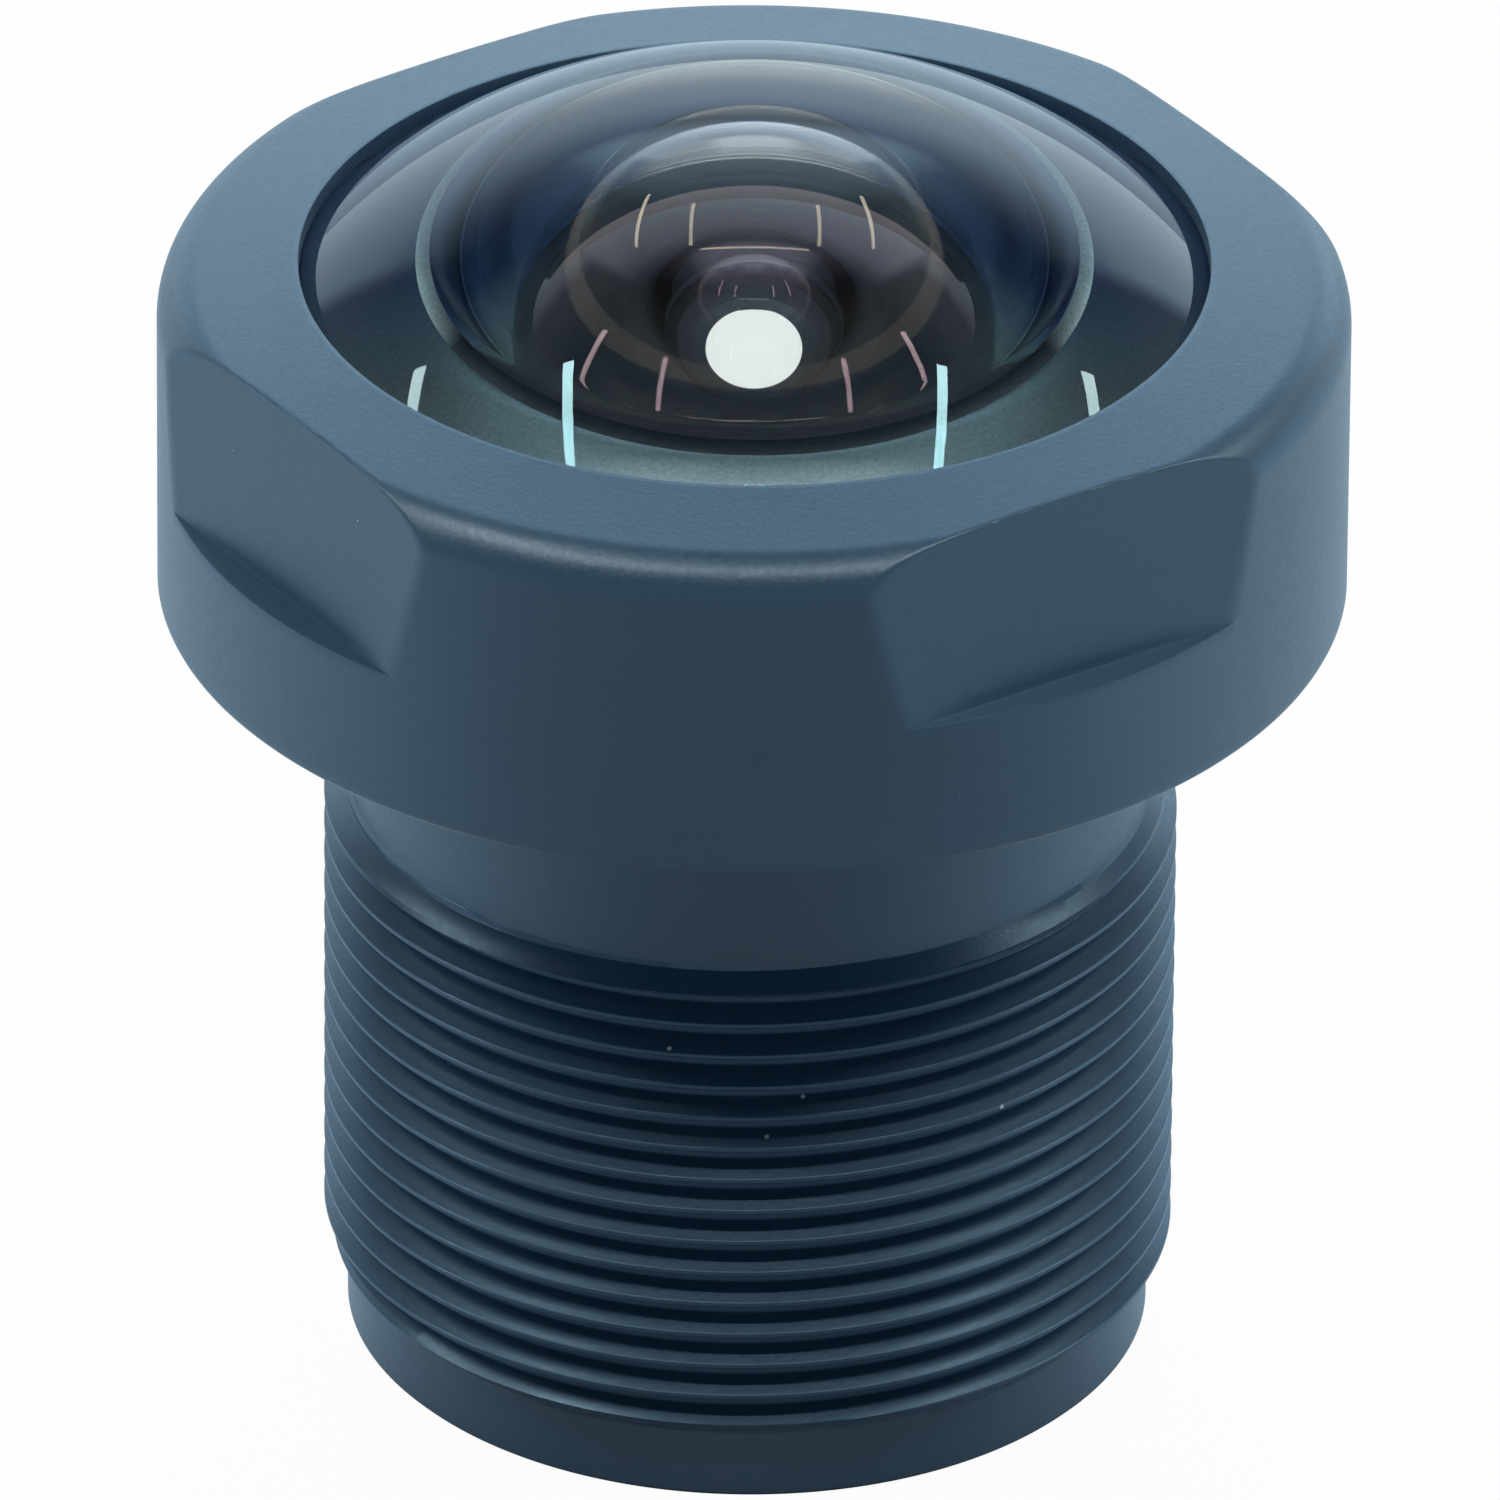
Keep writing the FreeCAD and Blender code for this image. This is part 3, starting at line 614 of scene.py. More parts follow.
def make_flanged(name, node, front, rear, clear):
    """A moulded lens with a plain flange: front and rear are (radius, bulge, flange height)."""
    edge = measured(node).outer
    front_radius, front_bulge, front_flange = front
    rear_radius, rear_bulge, rear_flange = rear
    front_apex = front_flange + front_bulge * sag(front_radius, clear)
    rear_apex = rear_flange + rear_bulge * sag(rear_radius, clear)
    outline, zones = joined(
        (POLISHED, surface(rear_radius, rear_apex, 0, clear, bulge=rear_bulge)),
        (GROUND, [(edge, rear_flange), (edge, front_flange), (clear, front_flange)]),
        (POLISHED, surface(front_radius, front_apex, clear, 0, bulge=front_bulge)),
    )
    return turned(name, outline, zones)


def make_ring(name, node, edge=PLAIN_EDGE):
    """A plain ring, with lightly broken edges."""
    low, high, inner, outer = measured(node)
    outline = [(inner, low), (outer, low), (outer, high), (inner, high)]
    return turned(name, rounded(outline, edge), segments=MEDIUM)


def make_stepped_spacer():
    """The spacer with a stair of narrow rings inside."""
    low, high, inner, outer = measured("stepped_spacer")
    outline = []
    for step in range(STAIR_STEPS):
        radius = inner + (STAIR_WIDE - inner) * step / (STAIR_STEPS - 1)
        outline.append((radius, low + (high - low) * step / STAIR_STEPS))
        outline.append((radius, low + (high - low) * (step + 1) / STAIR_STEPS))
    shoulder = low + STAIR_FOOT
    narrow = measured("third_element_holder").outer
    outline += [(outer, high), (outer, shoulder), (narrow, shoulder), (narrow, low)]
    return turned("stair_spacer", rounded(outline[::-1], HOLDER_EDGE), segments=MEDIUM)


def make_holder(name, node, pocket, ledge, ledge_below):
    """A ring that centres a small element in its pocket, with a ledge below or above the pocket."""
    low, high, inner, outer = measured(node)
    if ledge_below:
        below, above, change = inner, pocket, low + ledge
    else:
        below, above, change = pocket, inner, high - ledge
    outline = [(below, low), (outer, low), (outer, high), (above, high), (above, change), (below, change)]
    return turned(name, rounded(outline, HOLDER_EDGE))


def make_stop():
    """The aperture stop, with a knife edge that flares downwards."""
    low, high, inner, outer = measured("aperture_stop")
    return turned("stop_disc", [(inner + STOP_FLARE, low), (outer, low), (outer, high), (inner, high)])


def make_seal():
    """The rubber seal in its groove."""
    low, high, inner, outer = measured("front_o_ring")
    section = (high - low) / 2
    middle = (inner + outer) / 2
    angles = np.linspace(0, 2 * math.pi, SEAL_STEPS, endpoint=False)
    outline = [(middle + section * math.cos(t), (low + high) / 2 + section * math.sin(t)) for t in angles]
    return turned("seal_ring", outline, segments=MEDIUM)


def make_filter():
    """The flat filter glass."""
    low, high, _, edge = measured("ir_cut_filter")
    face = edge - FILTER_CHAMFER
    outline, zones = joined(
        (POLISHED, [(0, low + CONTACT), (face, low + CONTACT)]),
        (GROUND, [(edge, low + FILTER_CHAMFER), (edge, high - FILTER_CHAMFER), (face, high - CONTACT)]),
        (POLISHED, [(0, high - CONTACT)]),
    )
    return turned("filter_glass", outline, zones, segments=FILTER_SEGMENTS)


def make_retaining_ring():
    """The rear ring with its two spanner slots."""
    low, high, inner, outer = measured("rear_retaining_ring")
    outline = [
        (inner + RING_CHAMFER, low), (outer, low), (outer, high), (inner, high),
        (inner, low + RING_CHAMFER),
    ]
    ring = turned("rear_ring", rounded(outline, RING_EDGE), segments=MEDIUM)
    bpy.ops.mesh.primitive_cube_add(size=1)
    cutter = bpy.context.object
    # The cutter is twice as wide as the ring, and half of it stands below the ring's rear face
    cutter.scale = (4 * outer * MM, SLOT_WIDTH * MM, 2 * SLOT_DEPTH * MM)
    cutter.location = (0, 0, low * MM)
    cut = ring.modifiers.new("slots", "BOOLEAN")
    cut.operation = "DIFFERENCE"
    cut.object = cutter
    bpy.context.view_layer.update()
    solid = bpy.data.meshes.new_from_object(ring.evaluated_get(bpy.context.evaluated_depsgraph_get()))
    ring.modifiers.clear()
    ring.data = solid
    ring.data.set_sharp_from_angle(angle=SHARP)
    bpy.data.objects.remove(cutter)
    return ring


# Camera, from the outlines and edges of the photograph

PHOTO_PIXELS = 1500
FOCAL_PIXELS = 31284.5
SENSOR = 36.0
AZIMUTH = math.radians(-34)
ELEVATION = math.radians(30.178)
ROLL = math.radians(0.4373)
DISTANCE = 438.98
TARGET = Vector((0, 0, 7.0))
# The row of the photograph in which TARGET shows
TARGET_PIXEL = 862.22
CLIP_NEAR_METRES = 0.01
CLIP_FAR_METRES = 100.0

right = Vector((math.cos(AZIMUTH), math.sin(AZIMUTH), 0))
away = Vector((-math.sin(AZIMUTH), math.cos(AZIMUTH), 0))
ahead = away * math.cos(ELEVATION) - Vector((0, 0, math.sin(ELEVATION)))
up = right.cross(ahead)
side = right * math.cos(ROLL) + up * math.sin(ROLL)
up = up * math.cos(ROLL) - right * math.sin(ROLL)
lift = math.atan2(TARGET_PIXEL - PHOTO_PIXELS / 2, FOCAL_PIXELS)
look = ahead * math.cos(lift) + up * math.sin(lift)
up = up * math.cos(lift) - ahead * math.sin(lift)


def make_camera():
    """The photograph's camera."""
    data = bpy.data.cameras.new("camera")
    data.sensor_width = SENSOR
    data.lens = FOCAL_PIXELS / PHOTO_PIXELS * SENSOR
    data.clip_start = CLIP_NEAR_METRES
    data.clip_end = CLIP_FAR_METRES
    camera = bpy.data.objects.new("camera", data)
    place = (TARGET - ahead * DISTANCE) * MM
    turn = Matrix((side, up, -look)).transposed()
    camera.matrix_world = Matrix.Translation(place) @ turn.to_4x4()
    bpy.context.scene.collection.objects.link(camera)
    bpy.context.scene.camera = camera


# Materials

WHITE = (1.0, 1.0, 1.0)
DUST_COLOUR = (0.62, 0.70, 0.74)
SHEEN_TINT = (0.66, 0.86, 1.0)
SHEEN_ROUGHNESS = 0.35
MATTE_IOR = 1.3

# How far the roughness of metal and of matte pieces changes, and how much a smear adds on glass
METAL_SMOOTHER = 0.05
METAL_ROUGHER = 0.06
MATTE_CHANGE = 0.06
SMEAR_ROUGHNESS = 0.012

# The parts of a noise's range that are spread over a full change
NOISE_SPAN = (0.3, 0.7)
SMEAR_SPAN = (0.3, 0.8)
SAND_SPAN = (0.35, 0.75)
SAND_SHADES = (0.88, 1.25)


def new_material(name):
    """A material with its node tree, shader and output."""
    material = bpy.data.materials.new(name)
    material.use_nodes = True
    tree = material.node_tree
    tree.nodes.clear()
    output = tree.nodes.new("ShaderNodeOutputMaterial")
    shader = tree.nodes.new("ShaderNodeBsdfPrincipled")
    tree.links.new(shader.outputs[0], output.inputs[0])
    return material, tree, shader, output


def noise(tree, scale, detail, roughness=0.5):
    """A noise over the object's own coordinates; scale is features per millimetre."""
    coordinates = tree.nodes.new("ShaderNodeTexCoord")
    texture = tree.nodes.new("ShaderNodeTexNoise")
    texture.inputs["Scale"].default_value = scale / MM
    texture.inputs["Detail"].default_value = detail
    texture.inputs["Roughness"].default_value = roughness
    tree.links.new(coordinates.outputs["Object"], texture.inputs["Vector"])
    return texture.outputs["Fac"]


def ranged(tree, value, source, target):
    """A value moved from one range to another."""
    node = tree.nodes.new("ShaderNodeMapRange")
    names = ("From Min", "From Max", "To Min", "To Max")
    for name, limit in zip(names, (*source, *target)):
        node.inputs[name].default_value = limit
    tree.links.new(value, node.inputs["Value"])
    return node.outputs["Result"]


def softly(tree, value, source, target):
    """As ranged, with a soft start and end."""
    result = ranged(tree, value, source, target)
    result.node.interpolation_type = "SMOOTHSTEP"
    return result


def spots(tree, scale, size, core=0.6):
    """One where a small round speck lies, and nought elsewhere; core is the share without fading."""
    coordinates = tree.nodes.new("ShaderNodeTexCoord")
    cells = tree.nodes.new("ShaderNodeTexVoronoi")
    cells.inputs["Scale"].default_value = scale / MM
    tree.links.new(coordinates.outputs["Object"], cells.inputs["Vector"])
    return ranged(tree, cells.outputs["Distance"], (size, size * core), (0, 1))


def mixed(tree, factor, low, high):
    """A colour between two colours."""
    node = tree.nodes.new("ShaderNodeMix")
    node.data_type = "RGBA"
    tree.links.new(factor, node.inputs[0])
    # The node keeps a set of sockets for each type: its colours are inputs 6 and 7 and output 2
    for socket, colour in ((node.inputs[6], low), (node.inputs[7], high)):
        if isinstance(colour, tuple):
            socket.default_value = (*colour, 1)
        else:
            tree.links.new(colour, socket)
    return node.outputs[2]


def maths(tree, operation, a, b):
    """One sum on two values."""
    node = tree.nodes.new("ShaderNodeMath")
    node.operation = operation
    for socket, value in zip(node.inputs, (a, b)):
        if isinstance(value, float):
            socket.default_value = value
        else:
            tree.links.new(value, socket)
    return node.outputs[0]


def light_path(tree, *names):
    """One for a ray of any of the named kinds."""
    path = tree.nodes.new("ShaderNodeLightPath")
    total = path.outputs[names[0]]
    for name in names[1:]:
        total = maths(tree, "MAXIMUM", total, path.outputs[name])
    return total


def dotted(tree, direction, vector):
    """How far a direction points along a fixed one."""
    node = tree.nodes.new("ShaderNodeVectorMath")
    node.operation = "DOT_PRODUCT"
    tree.links.new(direction, node.inputs[0])
    node.inputs[1].default_value = vector
    return node.outputs["Value"]


def bump(tree, shader, height, distance):
    """Relief of a surface: height from a texture, distance in millimetres."""
    node = tree.nodes.new("ShaderNodeBump")
    node.inputs["Strength"].default_value = 1.0
    node.inputs["Distance"].default_value = distance * MM
    tree.links.new(height, node.inputs["Height"])
    tree.links.new(node.outputs["Normal"], shader.inputs["Normal"])


def black_metal(name, low, high, rough, grain, relief, dust, sheen, ior, tint):
    """Bead-blasted and dyed aluminium: fine grain, a little colour change, and specks of dust."""
    material, tree, shader, _ = new_material(name)
    cloud = noise(tree, scale=0.35, detail=3.0)
    fine = noise(tree, scale=grain, detail=3.0, roughness=0.6)
    body = mixed(tree, ranged(tree, cloud, NOISE_SPAN, (0, 1)), low, high)
    specked = mixed(tree, spots(tree, scale=0.75, size=dust), body, DUST_COLOUR)
    roughness = ranged(tree, fine, NOISE_SPAN, (rough - METAL_SMOOTHER, rough + METAL_ROUGHER))
    tree.links.new(specked, shader.inputs["Base Color"])
    tree.links.new(roughness, shader.inputs["Roughness"])
    shader.inputs["Sheen Weight"].default_value = sheen
    shader.inputs["Sheen Roughness"].default_value = SHEEN_ROUGHNESS
    shader.inputs["Sheen Tint"].default_value = (*SHEEN_TINT, 1)
    shader.inputs["IOR"].default_value = ior
    shader.inputs["Specular Tint"].default_value = (*tint, 1)
    bump(tree, shader, fine, relief)
    return material


def matte(name, low, high, rough, grain, relief):
    """Matte black plastic, film, rubber or blackened steel."""
    material, tree, shader, _ = new_material(name)
    fine = noise(tree, scale=grain, detail=3.0)
    cloud = noise(tree, scale=0.5, detail=2.0)
    roughness = ranged(tree, fine, NOISE_SPAN, (rough - MATTE_CHANGE, rough + MATTE_CHANGE))
    tree.links.new(mixed(tree, cloud, low, high), shader.inputs["Base Color"])
    tree.links.new(roughness, shader.inputs["Roughness"])
    shader.inputs["IOR"].default_value = MATTE_IOR
    bump(tree, shader, fine, relief)
    return material


def glass(name, ior, coating, haze=0.0, body=WHITE):
    """Polished glass whose coating dims and tints what it reflects, with a faint smear or haze."""
    material, tree, shader, _ = new_material(name)
    smear = noise(tree, scale=0.4, detail=2.0)
    roughness = ranged(tree, smear, SMEAR_SPAN, (haze, haze + SMEAR_ROUGHNESS))
    tree.links.new(roughness, shader.inputs["Roughness"])
    shader.inputs["Base Color"].default_value = (*body, 1)
    shader.inputs["IOR"].default_value = ior
    shader.inputs["Transmission Weight"].default_value = 1.0
    shader.inputs["Specular Tint"].default_value = (*coating, 1)
    return material


def blackened(name, low, high, rough, ior):
    """The blackened edge of a glass."""
    material, tree, shader, _ = new_material(name)
    fine = noise(tree, scale=18.0, detail=3.0)
    tree.links.new(mixed(tree, fine, low, high), shader.inputs["Base Color"])
    shader.inputs["Roughness"].default_value = rough
    shader.inputs["IOR"].default_value = ior
    bump(tree, shader, fine, distance=0.006)
    return material


def ground_glass_painted_light(name, shades, rough=0.42):
    """Ground glass round the hollow: each shade is (place, colour), from 0 at the back to 1 in front. The
    colour follows the side towards the camera, so its light shades are painted light.
    """
    material, tree, shader, _ = new_material(name)
    coordinates = tree.nodes.new("ShaderNodeTexCoord")
    forward = dotted(tree, coordinates.outputs["Object"], -away)
    # The colour changes from the back to the front as seen from the camera, which paints light on the
    # ground glass
    ramp = tree.nodes.new("ShaderNodeValToRGB")
    # A ramp has two stops already, and each new one starts in the middle until it gets its place
    for _ in range(len(shades) - 2):
        ramp.color_ramp.elements.new(0.5)
    for stop, (place, colour) in zip(ramp.color_ramp.elements, shades):
        stop.position = place
        stop.color = (*colour, 1)
    reach = front_edge * MM
    tree.links.new(ranged(tree, forward, (-reach, reach), (0.0, 1.0)), ramp.inputs[0])
    grains = noise(tree, scale=16.0, detail=3.0, roughness=0.7)
    shade = tree.nodes.new("ShaderNodeVectorMath")
    shade.operation = "SCALE"
    tree.links.new(ramp.outputs[0], shade.inputs[0])
    tree.links.new(ranged(tree, grains, SAND_SPAN, SAND_SHADES), shade.inputs["Scale"])
    tree.links.new(shade.outputs[0], shader.inputs["Base Color"])
    shader.inputs["Metallic"].default_value = 1.0
    shader.inputs["Roughness"].default_value = rough
    return material


anodised = black_metal(
    "black_anodised", low=(0.012, 0.049, 0.102), high=(0.016, 0.057, 0.116), rough=0.40, grain=14.0,
    relief=0.004, dust=0.012, sheen=0.24, ior=2.1, tint=(0.64, 0.86, 1.0),
)
# The thread's metal is the anodised metal with a darker base: painted shade for the head's overhang and
# the grooves
thread_metal_painted_shade = black_metal(
    "thread_painted_shade", low=(0.008, 0.033, 0.068), high=(0.012, 0.042, 0.082), rough=0.36, grain=14.0,
    relief=0.003, dust=0.03, sheen=0.12, ior=2.1, tint=(0.46, 0.74, 1.0),
)
blasted = black_metal(
    "sand_blasted", low=(0.10, 0.15, 0.155), high=(0.20, 0.26, 0.265), rough=0.6, grain=9.0,
    relief=0.02, dust=0.05, sheen=0.1, ior=1.6, tint=(0.8, 0.95, 1.0),
)
plastic = matte(
    "black_plastic", low=(0.015, 0.026, 0.048), high=(0.022, 0.036, 0.062), rough=0.5, grain=8.0,
    relief=0.004,
)
film = matte(
    "black_film", low=(0.003, 0.004, 0.005), high=(0.005, 0.006, 0.008), rough=0.7, grain=16.0,
    relief=0.002,
)
steel = matte(
    "blackened_steel", low=(0.012, 0.022, 0.040), high=(0.018, 0.032, 0.054), rough=0.55, grain=16.0,
    relief=0.002,
)
rubber = matte(
    "black_rubber", low=(0.012, 0.012, 0.013), high=(0.02, 0.02, 0.021), rough=0.6, grain=6.0,
    relief=0.004,
)
inked = blackened(
    "blackened_edge", low=(0.003, 0.007, 0.014), high=(0.006, 0.012, 0.022), rough=0.6, ior=1.2,
)
# Ground zone of the front glass: the dark teal middle is its own inked colour; the bright back edge is a
# painted highlight, and the lighter teal and near white towards the front are painted light
ground_zone_painted_light = ground_glass_painted_light("ground_glass_painted_light", (
    (0.0, (0.42, 0.44, 0.46)), (0.03, (0.36, 0.38, 0.40)), (0.09, (0.025, 0.05, 0.11)),
    (0.5, (0.018, 0.04, 0.09)), (0.60, (0.062, 0.11, 0.147)), (0.69, (0.097, 0.157, 0.17)),
    (0.80, (0.16, 0.26, 0.29)), (0.93, (0.72, 0.92, 1.0)),
))
# Bevel of the front glass: the light shades from the back to the sides are a painted highlight; the dark
# front is its own colour
bevel_painted_highlight = ground_glass_painted_light("ground_bevel_painted_highlight", (
    (0.0, (0.16, 0.25, 0.30)), (0.35, (0.55, 0.80, 0.85)), (0.52, (0.55, 0.80, 0.85)),
    (0.62, (0.02, 0.03, 0.04)),
))
dome_glass = glass("dome_glass", ior=1.60, coating=(0.12, 0.26, 0.31))
hollow_glass = glass("hollow_glass", ior=1.60, coating=(0.50, 0.46, 0.34))
second_glass = glass("second_glass", ior=1.535, coating=(0.56, 0.40, 0.50), haze=0.02)
plain_glass = glass("coated_glass", ior=1.64, coating=(0.10, 0.16, 0.12))
crown_glass = glass("crown_glass", ior=1.62, coating=(0.10, 0.16, 0.12))
flint_glass = glass("flint_glass", ior=1.78, coating=(0.06, 0.10, 0.10))
lens_plastic = glass("lens_plastic", ior=1.535, coating=(0.12, 0.14, 0.20))
filter_material = glass("filter_coating", ior=1.52, coating=(0.5, 0.2, 0.3), body=(0.93, 1.0, 1.0))

# Pieces, each with its CAD node, its slot and its materials by zone

fourth_piece, fifth_piece = make_doublet()
sixth_front = (SIXTH_SURFACE, 1, measured("middle_spacer").low - CONTACT)
sixth_rear = (SIXTH_SURFACE, -1, measured("rear_spacer").high + CONTACT)
seventh_front = (SEVENTH_FRONT, -1, measured("rear_spacer").low - CONTACT)
seventh_rear = (SEVENTH_REAR, 1, measured("rear_baffle_sheet").high + CONTACT)
PIECES = [
    (make_barrel(), "lens_barrel", "black_anodised", [anodised, thread_metal_painted_shade]),
    (make_cap(), "front_cap", "black_anodised", [anodised]),
    (make_front_element(), "front_element", "coated_glass",
     [dome_glass, ground_zone_painted_light, bevel_painted_highlight, hollow_glass]),
    (make_seal(), "front_o_ring", "black_rubber", [rubber]),
    (make_ring("front_ring", "front_spacer"), "front_spacer", "blasted_black", [blasted]),
    (make_second_element(), "second_element", "coated_plastic", [second_glass, inked]),
    (make_stepped_spacer(), "stepped_spacer", "black_plastic", [plastic]),
    (make_third_element(), "third_element", "coated_glass", [plain_glass, inked]),
    (make_holder("third_holder", "third_element_holder", THIRD_POCKET, THIRD_LEDGE, ledge_below=True),
     "third_element_holder", "black_plastic", [plastic]),
    (make_stop(), "aperture_stop", "blackened_steel", [steel]),
    (fourth_piece, "fourth_element", "coated_glass", [crown_glass, inked]),
    (fifth_piece, "fifth_element", "coated_glass", [flint_glass, inked]),
    (make_holder("doublet_ring", "doublet_holder", DOUBLET_POCKET, DOUBLET_LEDGE, ledge_below=False),
     "doublet_holder", "black_plastic", [plastic]),
    (make_ring("doublet_sheet", "doublet_baffle_sheet", SHEET_EDGE),
     "doublet_baffle_sheet", "black_sheet", [film]),
    (make_ring("middle_ring", "middle_spacer"), "middle_spacer", "black_plastic", [plastic]),
    (make_flanged("sixth_lens", "sixth_element", sixth_front, sixth_rear, SIXTH_CLEAR),
     "sixth_element", "coated_plastic", [lens_plastic, inked]),
    (make_ring("rear_ring_spacer", "rear_spacer"), "rear_spacer", "black_plastic", [plastic]),
    (make_flanged("seventh_lens", "seventh_element", seventh_front, seventh_rear, SEVENTH_CLEAR),
     "seventh_element", "coated_plastic", [lens_plastic, inked]),
    (make_ring("rear_sheet", "rear_baffle_sheet", SHEET_EDGE),
     "rear_baffle_sheet", "black_sheet", [film]),
    (make_filter(), "ir_cut_filter", "filter_glass", [filter_material, inked]),
    (make_ring("filter_seal", "filter_gasket"), "filter_gasket", "black_rubber", [rubber]),
    (make_retaining_ring(), "rear_retaining_ring", "black_anodised", [anodised]),
]
for piece, node, slot, materials in PIECES:
    for material in materials:
        piece.data.materials.append(material)
    # Clear pieces cast no shadow
    if "glass" in slot or slot == "coated_plastic":
        piece.visible_shadow = False
    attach(piece, "root")
    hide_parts(node)

# Lamps

GLASS_HEIGHT = 17.0
STRIP_PLANE = 100.0
LAMP_HEIGHT = 320.0
STRIP_COLOUR = (1.0, 0.94, 0.86)

# Each strip as (start, end, width, level), as it would lie on a plane STRIP_PLANE above the glass,
# with x to the camera's right and y away from it. It hangs LAMP_HEIGHT above the glass, enlarged so
# that it looks the same from there
STRIPS = (
    ((-51, 14), (-59, -36), 3.6, 48.0),
    ((52, 14), (60, -36), 3.6, 48.0),
    ((-50, -42.1), (50, -42.1), 2.2, 48.0),
    ((-114, 55), (-153, -24), 9.0, 24.0),
    ((114, 55), (153, -24), 9.0, 24.0),
)


def make_strip(index, start, end, width, level):
    """A narrow rectangular lamp between two places."""
    scale = LAMP_HEIGHT / STRIP_PLANE
    first, last = (right * (x * scale) + away * (y * scale) for x, y in (start, end))
    along = last - first
    middle = (first + last) / 2 + Vector((0, 0, GLASS_HEIGHT + LAMP_HEIGHT))
    data = bpy.data.lights.new(f"strip_{index}", "AREA")
    data.shape = "RECTANGLE"
    data.size = along.length * MM
    data.size_y = width * scale * MM
    data.color = STRIP_COLOUR
    data.energy = level * math.pi * data.size * data.size_y
    lamp = bpy.data.objects.new(f"strip_{index}", data)
    x_axis = along.normalized()
    z_axis = Vector((0, 0, 1))
    turn = Matrix((x_axis, z_axis.cross(x_axis), z_axis)).transposed()
    lamp.matrix_world = Matrix.Translation(middle * MM) @ turn.to_4x4()
    bpy.context.scene.collection.objects.link(lamp)


# Surroundings

LIGHT_COLOUR = (0.74, 0.90, 1.0)
HIGH_COLOUR = (0.70, 0.86, 1.0)

# Bearings are in radians from straight behind the lens. A height is the upward part of a direction,
# from 0 at the horizon to 1 overhead. Each fade runs between two of them
COLOUR_FADE = (0.0, 0.6)
WALL_LEVEL = 2.0
NEAR_LEVEL = 0.34
WALL_EDGE = math.radians(40)
WALL_SOFTNESS = 0.05
WALL_TOP_FADE = (0.30, 0.63)
SIDEWAYS = (-0.5, 0.5)
SIDEWAYS_SHARES = (0.75, 1.0)
CEILING_FADE = (0.1, 0.8)
CEILING_LEVELS = (0.05, 0.03)

# Patches of light, as (level, fade by bearing, fade by height)
BESIDE_PATCH = (1.1, (0.9, 1.7), (0.05, 0.3))
HIGH_PATCH = (0.8, (0.25, 0.65), (0.55, 0.95))
UPPER_PATCH = (2.4, (0.2, 0.45), (0.62, 0.85))
UPPER_START = (0.40, 0.52)


def make_world():
    """Studio surroundings: a bright wall behind the lens, dimmer towards the camera."""
    world = bpy.data.worlds.new("studio")
    bpy.context.scene.world = world
    world.use_nodes = True
    tree = world.node_tree
    tree.nodes.clear()
    output = tree.nodes.new("ShaderNodeOutputWorld")
    background = tree.nodes.new("ShaderNodeBackground")
    tree.links.new(background.outputs[0], output.inputs[0])
    direction = tree.nodes.new("ShaderNodeTexCoord").outputs["Generated"]
    height = dotted(tree, direction, (0, 0, 1))
    sideways = dotted(tree, direction, right)
    bearing = maths(tree, "ARCTAN2", sideways, dotted(tree, direction, away))
    bearing = maths(tree, "ABSOLUTE", bearing, 0.0)

    def patch(level, bearing_fade, height_fade):
        across = softly(tree, bearing, bearing_fade, (level, 0.0))
        return maths(tree, "MULTIPLY", across, softly(tree, height, height_fade, (1.0, 0.0)))

    edge = (WALL_EDGE - WALL_SOFTNESS, WALL_EDGE + WALL_SOFTNESS)
    wall = softly(tree, bearing, edge, (WALL_LEVEL, NEAR_LEVEL))
    wall = maths(tree, "MULTIPLY", wall, ranged(tree, sideways, SIDEWAYS, SIDEWAYS_SHARES))
    wall = maths(tree, "MAXIMUM", wall, patch(*BESIDE_PATCH))
    wall = maths(tree, "MULTIPLY", wall, softly(tree, height, WALL_TOP_FADE, (1.0, 0.0)))
    upper = maths(tree, "MULTIPLY", patch(*UPPER_PATCH), softly(tree, height, UPPER_START, (0.0, 1.0)))
    high = maths(tree, "MAXIMUM", patch(*HIGH_PATCH), upper)
    ceiling = softly(tree, height, CEILING_FADE, CEILING_LEVELS)
    level = maths(tree, "ADD", maths(tree, "MAXIMUM", wall, high), ceiling)
    seen = light_path(tree, "Is Camera Ray")
    tree.links.new(maths(tree, "MAXIMUM", level, seen), background.inputs["Strength"])
    colour = mixed(tree, softly(tree, height, COLOUR_FADE, (0.0, 1.0)), LIGHT_COLOUR, HIGH_COLOUR)
    tree.links.new(mixed(tree, seen, colour, WHITE), background.inputs["Color"])


# Floor

FLOOR_RADIUS_METRES = 3.0
FLOOR_SEGMENTS = 96
FLOOR_DROP = 0.02
FLOOR_FRONT = (0.34, 0.36, 0.38)
FLOOR_BACK = (0.80, 0.82, 0.84)
FLOOR_GLOW = (0.66, 0.86, 1.0)
FLOOR_ROUGHNESS = 0.8
GLOW_SHARE = 0.97

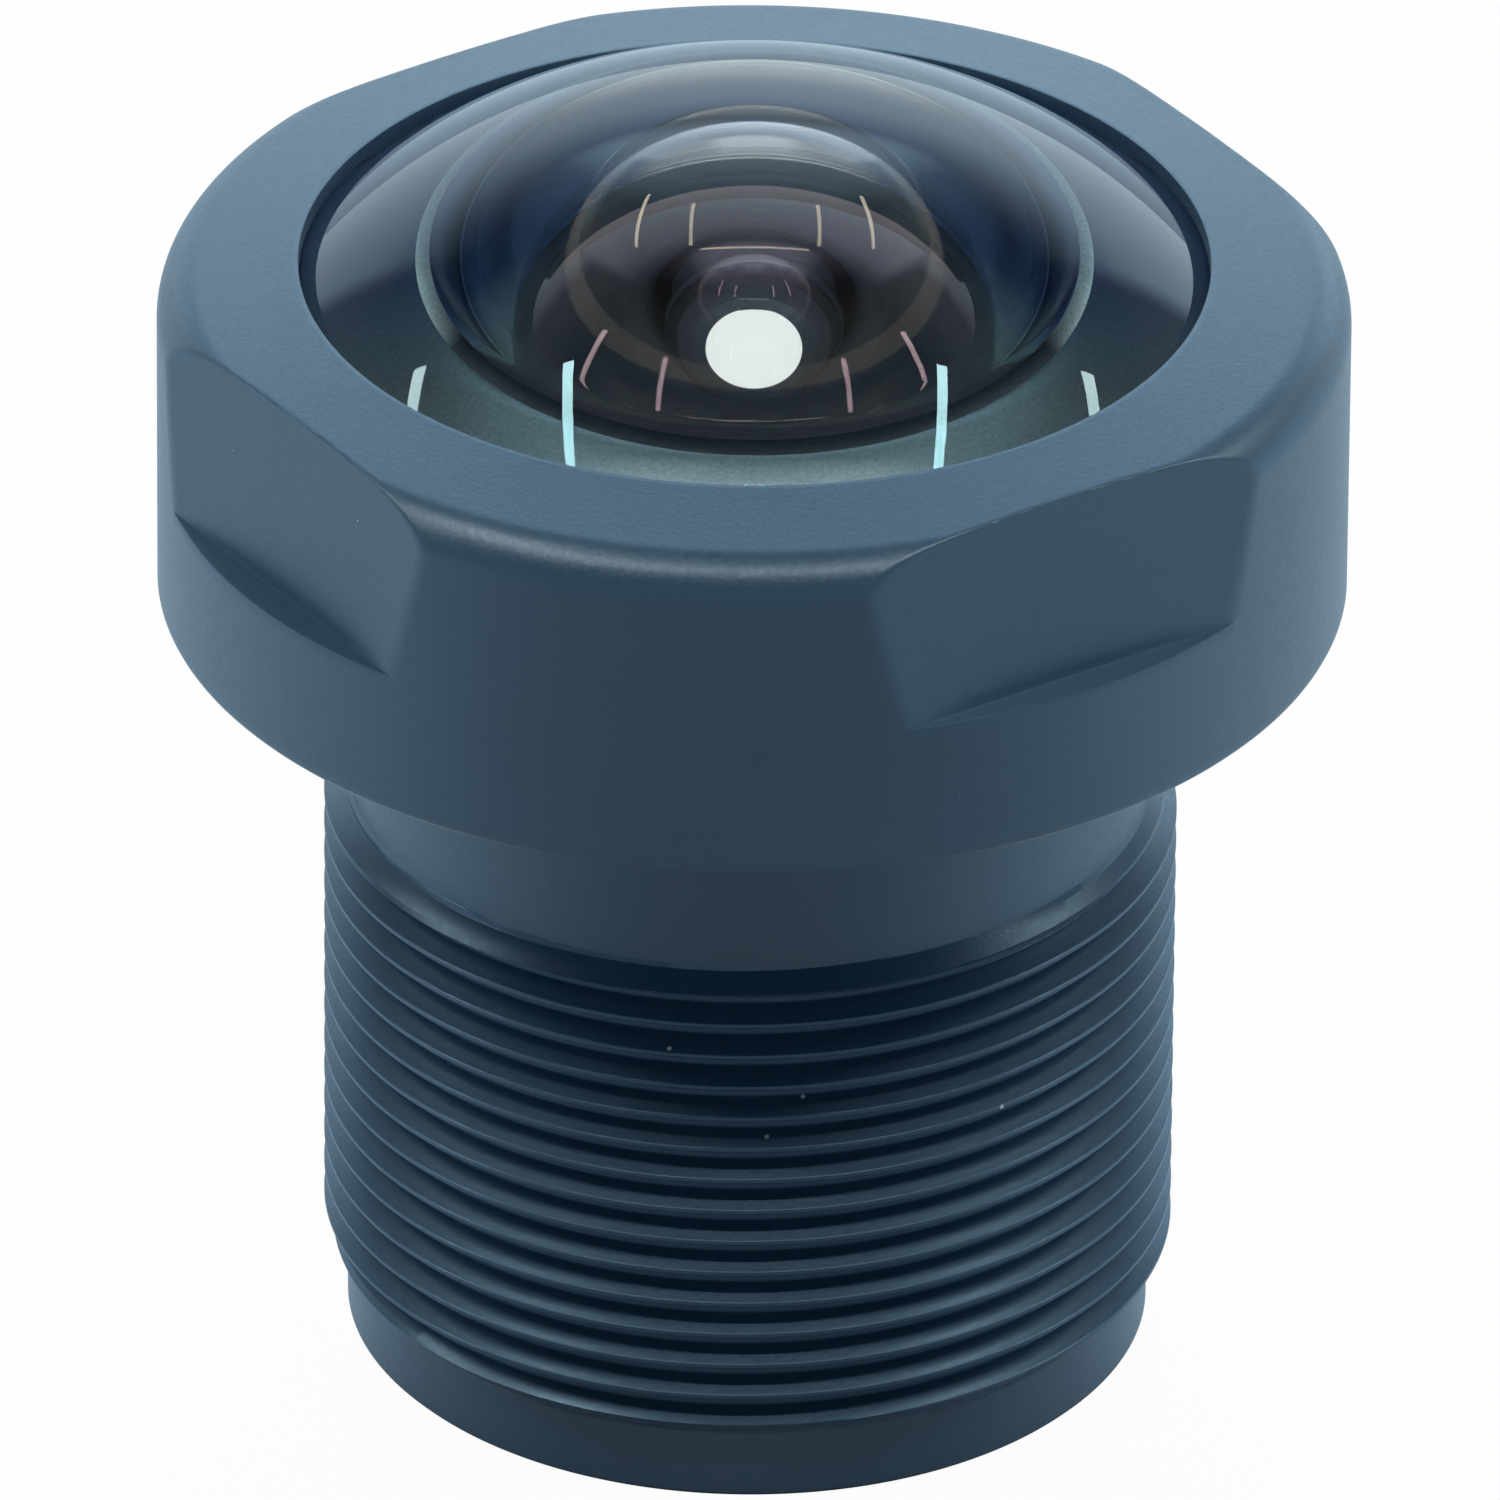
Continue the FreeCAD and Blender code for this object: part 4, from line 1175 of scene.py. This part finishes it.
# From -1 straight in front of the lens to 1 straight behind it: where the floor turns to its back
FLOOR_FADE = (-1.0, 0.35)


def make_floor():
    """The pale floor: white to the camera, dimmer in front of the lens, with its own soft shadow."""
    bpy.ops.mesh.primitive_circle_add(
        vertices=FLOOR_SEGMENTS, radius=FLOOR_RADIUS_METRES, fill_type="NGON")
    floor = bpy.context.object
    floor.name = "floor"
    floor.location.z = -FLOOR_DROP * MM
    material, tree, shader, output = new_material("white_floor")
    place = tree.nodes.new("ShaderNodeNewGeometry").outputs["Position"]
    outward = tree.nodes.new("ShaderNodeVectorMath")
    outward.operation = "NORMALIZE"
    tree.links.new(place, outward.inputs[0])
    behind = softly(tree, dotted(tree, outward.outputs[0], away), FLOOR_FADE, (0.0, 1.0))
    tree.links.new(mixed(tree, behind, FLOOR_FRONT, FLOOR_BACK), shader.inputs["Base Color"])
    shader.inputs["Roughness"].default_value = FLOOR_ROUGHNESS
    shader.inputs["Specular IOR Level"].default_value = 0.0
    glow = tree.nodes.new("ShaderNodeEmission")
    blend = tree.nodes.new("ShaderNodeMixShader")
    seen = light_path(tree, "Is Camera Ray", "Is Transmission Ray")
    bounced = maths(tree, "MULTIPLY", behind, light_path(tree, "Is Glossy Ray"))
    share = maths(tree, "MULTIPLY", maths(tree, "MAXIMUM", seen, bounced), GLOW_SHARE)
    tree.links.new(mixed(tree, seen, FLOOR_GLOW, WHITE), glow.inputs["Color"])
    tree.links.new(share, blend.inputs[0])
    tree.links.new(shader.outputs[0], blend.inputs[1])
    tree.links.new(glow.outputs[0], blend.inputs[2])
    tree.links.new(blend.outputs[0], output.inputs[0])
    floor.data.materials.append(material)


make_camera()
for index, strip in enumerate(STRIPS):
    make_strip(index, *strip)
make_world()
make_floor()

scene = bpy.context.scene
scene.view_settings.view_transform = "Standard"
scene.cycles.max_bounces = 32
scene.cycles.transmission_bounces = 32
scene.cycles.glossy_bounces = 8
scene.cycles.diffuse_bounces = 4
scene.cycles.caustics_reflective = False
scene.cycles.caustics_refractive = False
